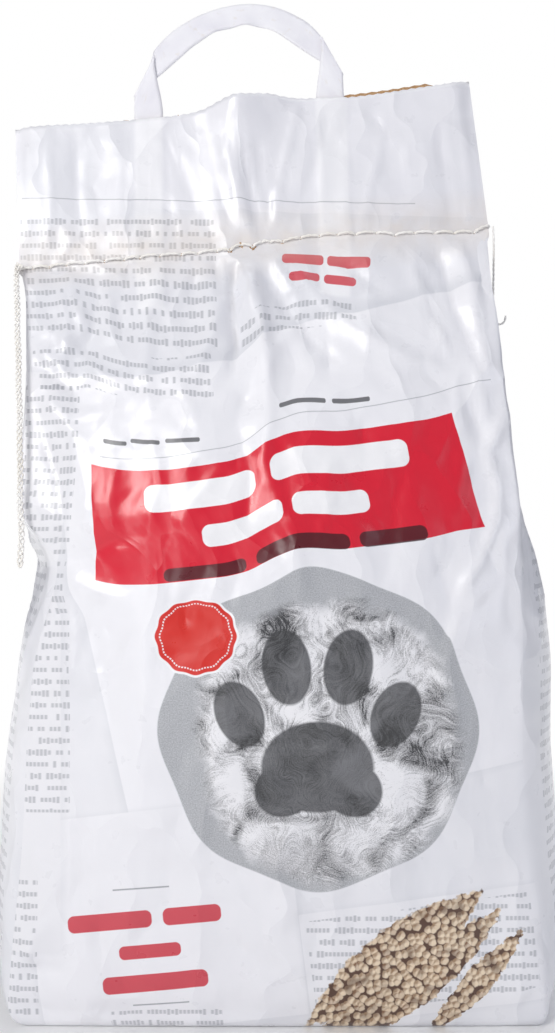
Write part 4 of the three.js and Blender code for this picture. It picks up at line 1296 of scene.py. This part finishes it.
# Share of the base's outline, and how far each ring is lifted from it
BOTTOM_RINGS = [(1.0, 0.0), (0.995, -0.25), (0.8, -0.3), (0.62, -0.3), (0.6, 0.05), (0.35, 0.08),
                (0.1, 0.08)]
BOTTOM_PRINT_START = 2000


def make_bottom():
    """The folded block bottom, a thin plate of paper layers on the base ring."""
    base = sack_points[0]
    centre = base.mean(axis=0)
    rings = []
    for share, lift in BOTTOM_RINGS:
        ring = centre + (base - centre) * share
        ring[:, 2] = base[:, 2] + lift
        rings.append(ring)
    points = np.concatenate(rings)
    faces = []
    for i in range(len(rings) - 1):
        for j in range(COLUMNS):
            k = (j + 1) % COLUMNS
            faces.append((i * COLUMNS + j, (i + 1) * COLUMNS + j, (i + 1) * COLUMNS + k,
                          i * COLUMNS + k))
    faces.append(tuple((len(rings) - 1) * COLUMNS + j for j in range(COLUMNS))[::-1])
    points[:, 2] = np.maximum(points[:, 2], 0.05)
    corner_points = np.concatenate([points[list(face)] for face in faces])
    flat = np.stack((corner_points[:, 0] + BOTTOM_PRINT_START, corner_points[:, 1]), axis=-1)
    make_piece("sack_block_bottom", points, faces, [BACK_PAPER],
               maps={"paper_place": flat, "print_place": flat})


make_bottom()


# Handle: one flat tape, its legs between the papers and its bow folded over at both sides

TAPE_WIDTH = 16.4
LEG_SPACING = 103.4
LEG_SHIFT = -6.3
LEG_LEAN = math.radians(2.9)
LEG_DEPTH = 25
BOW_LIFT = 113
BOW_RISE = 44
FOLD_RISE = 25
FOLD_STEP = 9.5
FOLD_INSET = 5
LEG_TAPER_HEIGHT = 82
LEG_LAYER = -0.15
BOW_LAYER = 0.75
BOW_LEAN_BACK = 3
TAPE_HALF = 0.22
LEG_STEPS = 64
BOW_STEPS = 130
BOW_SMOOTHING = 60
BOW_SHAPE = [(-0.93, 0.32), (-0.72, 0.61), (-0.39, 0.87), (0.04, 1), (0.41, 0.93), (0.72, 0.72),
             (0.89, 0.5)]


def on_handle(side, lift, back):
    """Points in the handle's own frame, which stands plumb on the tilted flap."""
    across = LEG_SHIFT + side * math.cos(LEG_LEAN) + lift * math.sin(LEG_LEAN)
    up = lift * math.cos(LEG_LEAN) - side * math.sin(LEG_LEAN)
    return on_flap(across, up, back)


def fold_ends(side):
    """Low outer and high inner end of the diagonal fold on one side."""
    middle = BOW_LIFT + side * FOLD_STEP / 2
    low = (side * (LEG_SPACING + TAPE_WIDTH) / 2, middle - FOLD_RISE / 2)
    high = (side * ((LEG_SPACING - TAPE_WIDTH) / 2 + FOLD_INSET), middle + FOLD_RISE / 2)
    return np.array(low), np.array(high)


def leg_rails(side):
    """The leg's outer and inner edges, from its buried end up to the diagonal fold."""
    low, high = fold_ends(side)
    inner_side = side * (LEG_SPACING - TAPE_WIDTH) / 2
    share = np.linspace(0, 1, LEG_STEPS)[:, None]
    outer = np.array([low[0], -LEG_DEPTH]) * (1 - share) + low * share
    lift = -LEG_DEPTH + (high[1] + LEG_DEPTH) * share[:, 0]
    inward = (high[0] - inner_side) * ease((lift - LEG_TAPER_HEIGHT) / (high[1] - LEG_TAPER_HEIGHT))
    inner = np.stack((inner_side + inward, lift), axis=-1)
    return outer, inner


def bow_rails():
    """The bow's inner and outer edges from the left fold to the right one."""
    shape = [(s * LEG_SPACING / 2, BOW_LIFT + r * BOW_RISE) for s, r in BOW_SHAPE]
    (left_low, left_high), (right_low, right_high) = fold_ends(-1), fold_ends(1)
    outer = route_through([left_high, *shape, right_high], BOW_STEPS)
    along = unit(np.gradient(outer, axis=0))
    inner = outer + np.stack((along[:, 1], -along[:, 0]), axis=-1) * TAPE_WIDTH
    for _ in range(BOW_SMOOTHING):
        inner[1:-1] = (inner[:-2] + 2 * inner[1:-1] + inner[2:]) / 4
    t = np.linspace(0, 1, BOW_STEPS)
    free = ease(np.minimum(t, 1 - t) / 0.14)[:, None]
    anchor = np.where((t < 0.5)[:, None], left_low, right_low)
    return anchor + (inner - anchor) * free, outer


def tape_sections():
    """Both edges of the tape from one buried end to the other, as side, lift and layer."""

    def leg_and_fold(side):
        outer, inner = leg_rails(side)
        edges = [((*a, LEG_LAYER), (*b, LEG_LAYER)) for a, b in zip(outer, inner)]
        for turn in (0.25, 0.5, 0.75):
            layer = LEG_LAYER + (BOW_LAYER - LEG_LAYER) * turn
            bulge = np.array([side * 0.25, 0.2]) * math.sin(math.pi * turn)
            edges.append(((*(outer[-1] + bulge), layer), (*(inner[-1] + bulge), layer)))
        return edges

    bow = []
    bow_inner, bow_outer = bow_rails()
    for t, a, b in zip(np.linspace(0, 1, BOW_STEPS), bow_inner, bow_outer):
        lean = BOW_LEAN_BACK * math.sin(math.pi * t)
        ripple = 0.55 * math.sin(31 * t) * math.sin(math.pi * t)
        bow.append(((*a, BOW_LAYER + ripple), (*b, BOW_LAYER + lean)))
    return np.array(leg_and_fold(-1) + bow + leg_and_fold(1)[::-1])


TAPE_CELLS = 8


def make_tape():
    """The handle's tape as one thin closed strip."""
    edges = tape_sections()
    share = np.linspace(0, 1, TAPE_CELLS + 1)[None, :, None]
    flat = edges[:, :1] * (1 - share) + edges[:, 1:] * share
    points = on_handle(flat[..., 0], flat[..., 1], flat[..., 2])
    walked = np.cumsum(np.linalg.norm(np.diff(points.mean(axis=1), axis=0, prepend=0), axis=-1))
    walked -= walked[0]
    # faint cross creases and a slight hollow between the edges
    lift = flat[..., 1]
    wave = 0.12 * np.sin(walked[:, None] / 4.3 + 3 * share[..., 0]) * ease((lift - 92) / 10)
    normals = grid_normals(points, closed=False)
    points = points + FLAP_BACK * wave[..., None]
    front = points - normals * TAPE_HALF
    back = points + normals * TAPE_HALF
    count = len(points)
    width = TAPE_CELLS + 1
    i, j = (a.ravel() for a in np.meshgrid(np.arange(count - 1), np.arange(TAPE_CELLS), indexing="ij"))
    a = i * width + j
    near = np.stack((a, a + 1, a + width + 1, a + width), axis=-1)
    far = near[:, ::-1] + count * width
    ring = ([k * width for k in range(count)] + [(count - 1) * width + k for k in range(1, width)]
            + [k * width + width - 1 for k in range(count - 2, -1, -1)]
            + list(range(width - 2, 0, -1)))
    rim = [(ring[k], ring[(k + 1) % len(ring)], ring[(k + 1) % len(ring)] + count * width,
            ring[k] + count * width) for k in range(len(ring))]
    faces = [tuple(f) for f in near] + [tuple(f) for f in far] + rim
    all_points = np.vstack((front.reshape(-1, 3), back.reshape(-1, 3)))
    place = np.stack(np.broadcast_arrays(walked[:, None], share[..., 0] * TAPE_WIDTH), axis=-1)
    place = np.vstack([place.reshape(-1, 2)] * 2)
    corners = np.concatenate([place[list(face)] for face in faces])
    tape = make_piece("carry_handle_tape", all_points, faces, [TAPE_PAPER],
                      maps={"tape_place": corners})
    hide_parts("carry_handle")


make_tape()


# Closing seam: a thread run along the front, from hole to hole, and chain loops along the back

SEAM_RADIUS = 0.85
LOOP_RADIUS = 0.9 * SEAM_RADIUS
SEAM_START = (-131.5, -4.4)
SEAM_END = (130.6, 0.6)
# The chain's last loops are bunched where the long tail leaves the seam: across, up and back
END_BUNCH = [(-131.2, -3.2, -2.2), (-129.4, -2.0, -3.4), (-127.4, -3.4, -3.9), (-128.4, -5.0, -3.5),
             (-130.8, -4.4, -2.7), (-131.0, -6.0, -2.4)]
END_LINK = [(-130.9, -4.6, -2.6), (-130.6, -7.2, -3.0), (-129.9, -10.2, -3.6)]


def front_skin(across, up):
    """Where the front paper's face lies, measured back from the flap's plane."""
    return -half_gap(across) - front_relief(np.asarray(across, float), np.asarray(up, float))


def front_stitch(start, end):
    """One stitch on the front: it rises from a hole, lies on the paper and dips into the next hole."""
    share = np.linspace(0, 1, 15)
    across = start[0] + (end[0] - start[0]) * share
    up = start[1] + (end[1] - start[1]) * share + 0.5 * np.sin(np.pi * share)
    proud = -0.9 + 1.95 * np.minimum(1, 2.6 * np.sin(np.pi * share))
    return on_flap(across, up, front_skin(across, up) - proud)


def back_loop(start, end, side):
    """One side of a chain loop on the back."""
    share = np.linspace(-0.12, 1.0, 15)
    across = start[0] + (end[0] - start[0]) * share
    arch = np.sin(np.pi * np.clip(share, 0, 1))
    up = start[1] + (end[1] - start[1]) * share + side * 1.15 * arch ** 0.7
    proud = 0.55 + 0.5 * arch + 0.25 * (share < 0)
    return on_flap(across, up, half_gap(across) + proud)


def make_seam():
    """The closing thread."""
    ends = [SEAM_START, *NEEDLE_HOLES, SEAM_END]
    parts = []
    for start, end in zip(ends[:-1], ends[1:]):
        parts.append(thread_tube(front_stitch(start, end), SEAM_RADIUS))
        for side in (-1, 1):
            parts.append(thread_tube(back_loop(start, end, side), LOOP_RADIUS, sides=8))
    for shape, steps, radius in ((END_BUNCH, 60, SEAM_RADIUS), (END_LINK, 30, LOOP_RADIUS)):
        route = route_through(shape, steps)
        parts.append(thread_tube(on_flap(route[:, 0], route[:, 1], route[:, 2]), radius))
    points, faces = join_parts(parts)
    seam = make_piece("closing_thread_stitches", points, faces, [COTTON])
    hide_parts("closing_thread")


TUFT_SIDES = 14
# The three needle holes beside the ridge are torn wider than the others
TORN_HOLES = (11, 12, 13)


def make_needle_tufts():
    """Torn brown fibres round the needle holes, where the inner paper shows."""
    picks = np.random.default_rng(21)
    parts = []
    for number, (across, up) in enumerate(NEEDLE_HOLES):
        size = picks.uniform(0.35, 0.8) * (2.4 if number in TORN_HOLES else 1)
        turn = np.linspace(0, 2 * np.pi, TUFT_SIDES, endpoint=False)
        rings = []
        for share, proud in ((0.25, 0.02), (0.7, 0.22), (1.0, 0.1)):
            reach = size * share * (1 + 0.28 * picks.normal(size=TUFT_SIDES) * share)
            x = across + reach * np.cos(turn) * 1.25
            y = up + reach * np.sin(turn)
            rings.append(on_flap(x, y, front_skin(x, y) - proud))
        faces = [tuple(range(TUFT_SIDES))[::-1]]
        for i in range(len(rings) - 1):
            for j in range(TUFT_SIDES):
                a, b = i * TUFT_SIDES + j, i * TUFT_SIDES + (j + 1) % TUFT_SIDES
                faces.append((a, a + TUFT_SIDES, b + TUFT_SIDES, b))
        parts.append((np.concatenate(rings), faces))
    points, faces = join_parts(parts)
    make_piece("needle_hole_fibres", points, faces, [BROWN_KRAFT])


make_seam()
make_needle_tufts()


# Stage: pale floor, white surroundings and plain soft light

def studio_floor():
    """Matt painted floor, pale and plain; it keeps the bag's soft shadow."""
    material, tree = new_material("pale_matt_floor_paint")
    grain = add_node(tree, "TexNoise", {"Scale": 300, "Detail": 2})
    relief = add_node(tree, "Bump", {"Height": grain, "Strength": 0.05, "Distance": 0.0003})
    paint = add_node(tree, "BsdfPrincipled", {
        "Base Color": linear("#f4f4f4"), "Roughness": 0.9, "IOR": 1.45, "Normal": relief})
    # away from the bag the floor runs out into the white surroundings
    place = add_node(tree, "TexCoord", out=3)
    away = add_node(tree, "VectorMath", {0: place}, out=1, operation="LENGTH")
    away = add_node(tree, "MapRange", {"Value": away, 1: 0.2, 2: 0.5})
    path = add_node(tree, "LightPath", out=None)
    seen = add_node(tree, "Math", {0: path.outputs["Is Camera Ray"],
                                   1: path.outputs["Is Glossy Ray"]}, operation="MAXIMUM")
    away = add_node(tree, "Math", {0: away, 1: seen}, operation="MULTIPLY")
    white = add_node(tree, "Emission", {"Color": (1, 1, 1, 1), "Strength": 1})
    shader = add_node(tree, "MixShader", {0: away, 1: paint, 2: white})
    add_node(tree, "OutputMaterial", {"Surface": shader}, out=None)
    return material


FLOOR_REACH = 3
FLOOR_POINTS = 13
# Lamps: place, what they aim at, width and height in metres, watts, colour
LAMPS = [
    ("key_softbox", (-0.8, -1.1, 0.95), (0, 0, 0.27), (0.5, 0.8), 11.8, "#fffdfa"),
    ("strip_softbox", (-0.55, -0.9, 0.3), (0, 0, 0.27), (0.07, 0.9), 0.8, "#ffffff"),
    ("side_softbox", (1.2, -0.7, 0.5), (0, 0, 0.25), (0.5, 1.2), 2.4, "#eef2ff"),
    ("back_softbox", (0.7, 1.3, 0.9), (0, 0, 0.25), (0.9, 0.9), 7, "#ffffff"),
    ("top_softbox", (0.1, 0.25, 1.5), (0, 0, 0.3), (0.9, 0.9), 3, "#ffffff"),
]


def make_stage():
    """Floor, surroundings and lamps."""
    mesh = bpy.data.meshes.new("studio_floor")
    steps = np.linspace(-FLOOR_REACH, FLOOR_REACH, FLOOR_POINTS)
    places = [(x, y, 0) for y in steps for x in steps]
    corners = [j * FLOOR_POINTS + i for j in range(FLOOR_POINTS - 1) for i in range(FLOOR_POINTS - 1)]
    faces = [(a, a + 1, a + FLOOR_POINTS + 1, a + FLOOR_POINTS) for a in corners]
    mesh.from_pydata(places, [], faces)
    mesh.materials.append(studio_floor())
    floor = bpy.data.objects.new("studio_floor", mesh)
    bpy.context.scene.collection.objects.link(floor)
    world = bpy.data.worlds.new("white_studio")
    bpy.context.scene.world = world
    world.use_nodes = True
    tree = world.node_tree
    tree.nodes.clear()
    path = add_node(tree, "LightPath", out=None)
    seen_white = add_node(tree, "Math", {0: path.outputs["Is Camera Ray"],
                                         1: path.outputs["Is Transmission Ray"]}, operation="MAXIMUM")
    fill = add_node(tree, "Background", {"Color": linear("#e2e4ee"), "Strength": 0.42})
    white = add_node(tree, "Background", {"Color": (1, 1, 1, 1), "Strength": 1})
    both = add_node(tree, "MixShader", {0: seen_white, 1: fill, 2: white})
    add_node(tree, "OutputWorld", {"Surface": both}, out=None)
    for name, place, aim, size, power, colour in LAMPS:
        lamp_data = bpy.data.lights.new(name, "AREA")
        lamp_data.shape = "RECTANGLE"
        lamp_data.size, lamp_data.size_y = size
        lamp_data.energy = power
        lamp_data.color = linear(colour)[:3]
        lamp = bpy.data.objects.new(name, lamp_data)
        lamp.location = place
        lamp.rotation_euler = (Vector(aim) - Vector(place)).to_track_quat("-Z", "Y").to_euler()
        bpy.context.scene.collection.objects.link(lamp)


make_stage()
bpy.context.scene.view_settings.view_transform = "Standard"

bpy.context.view_layer.update()
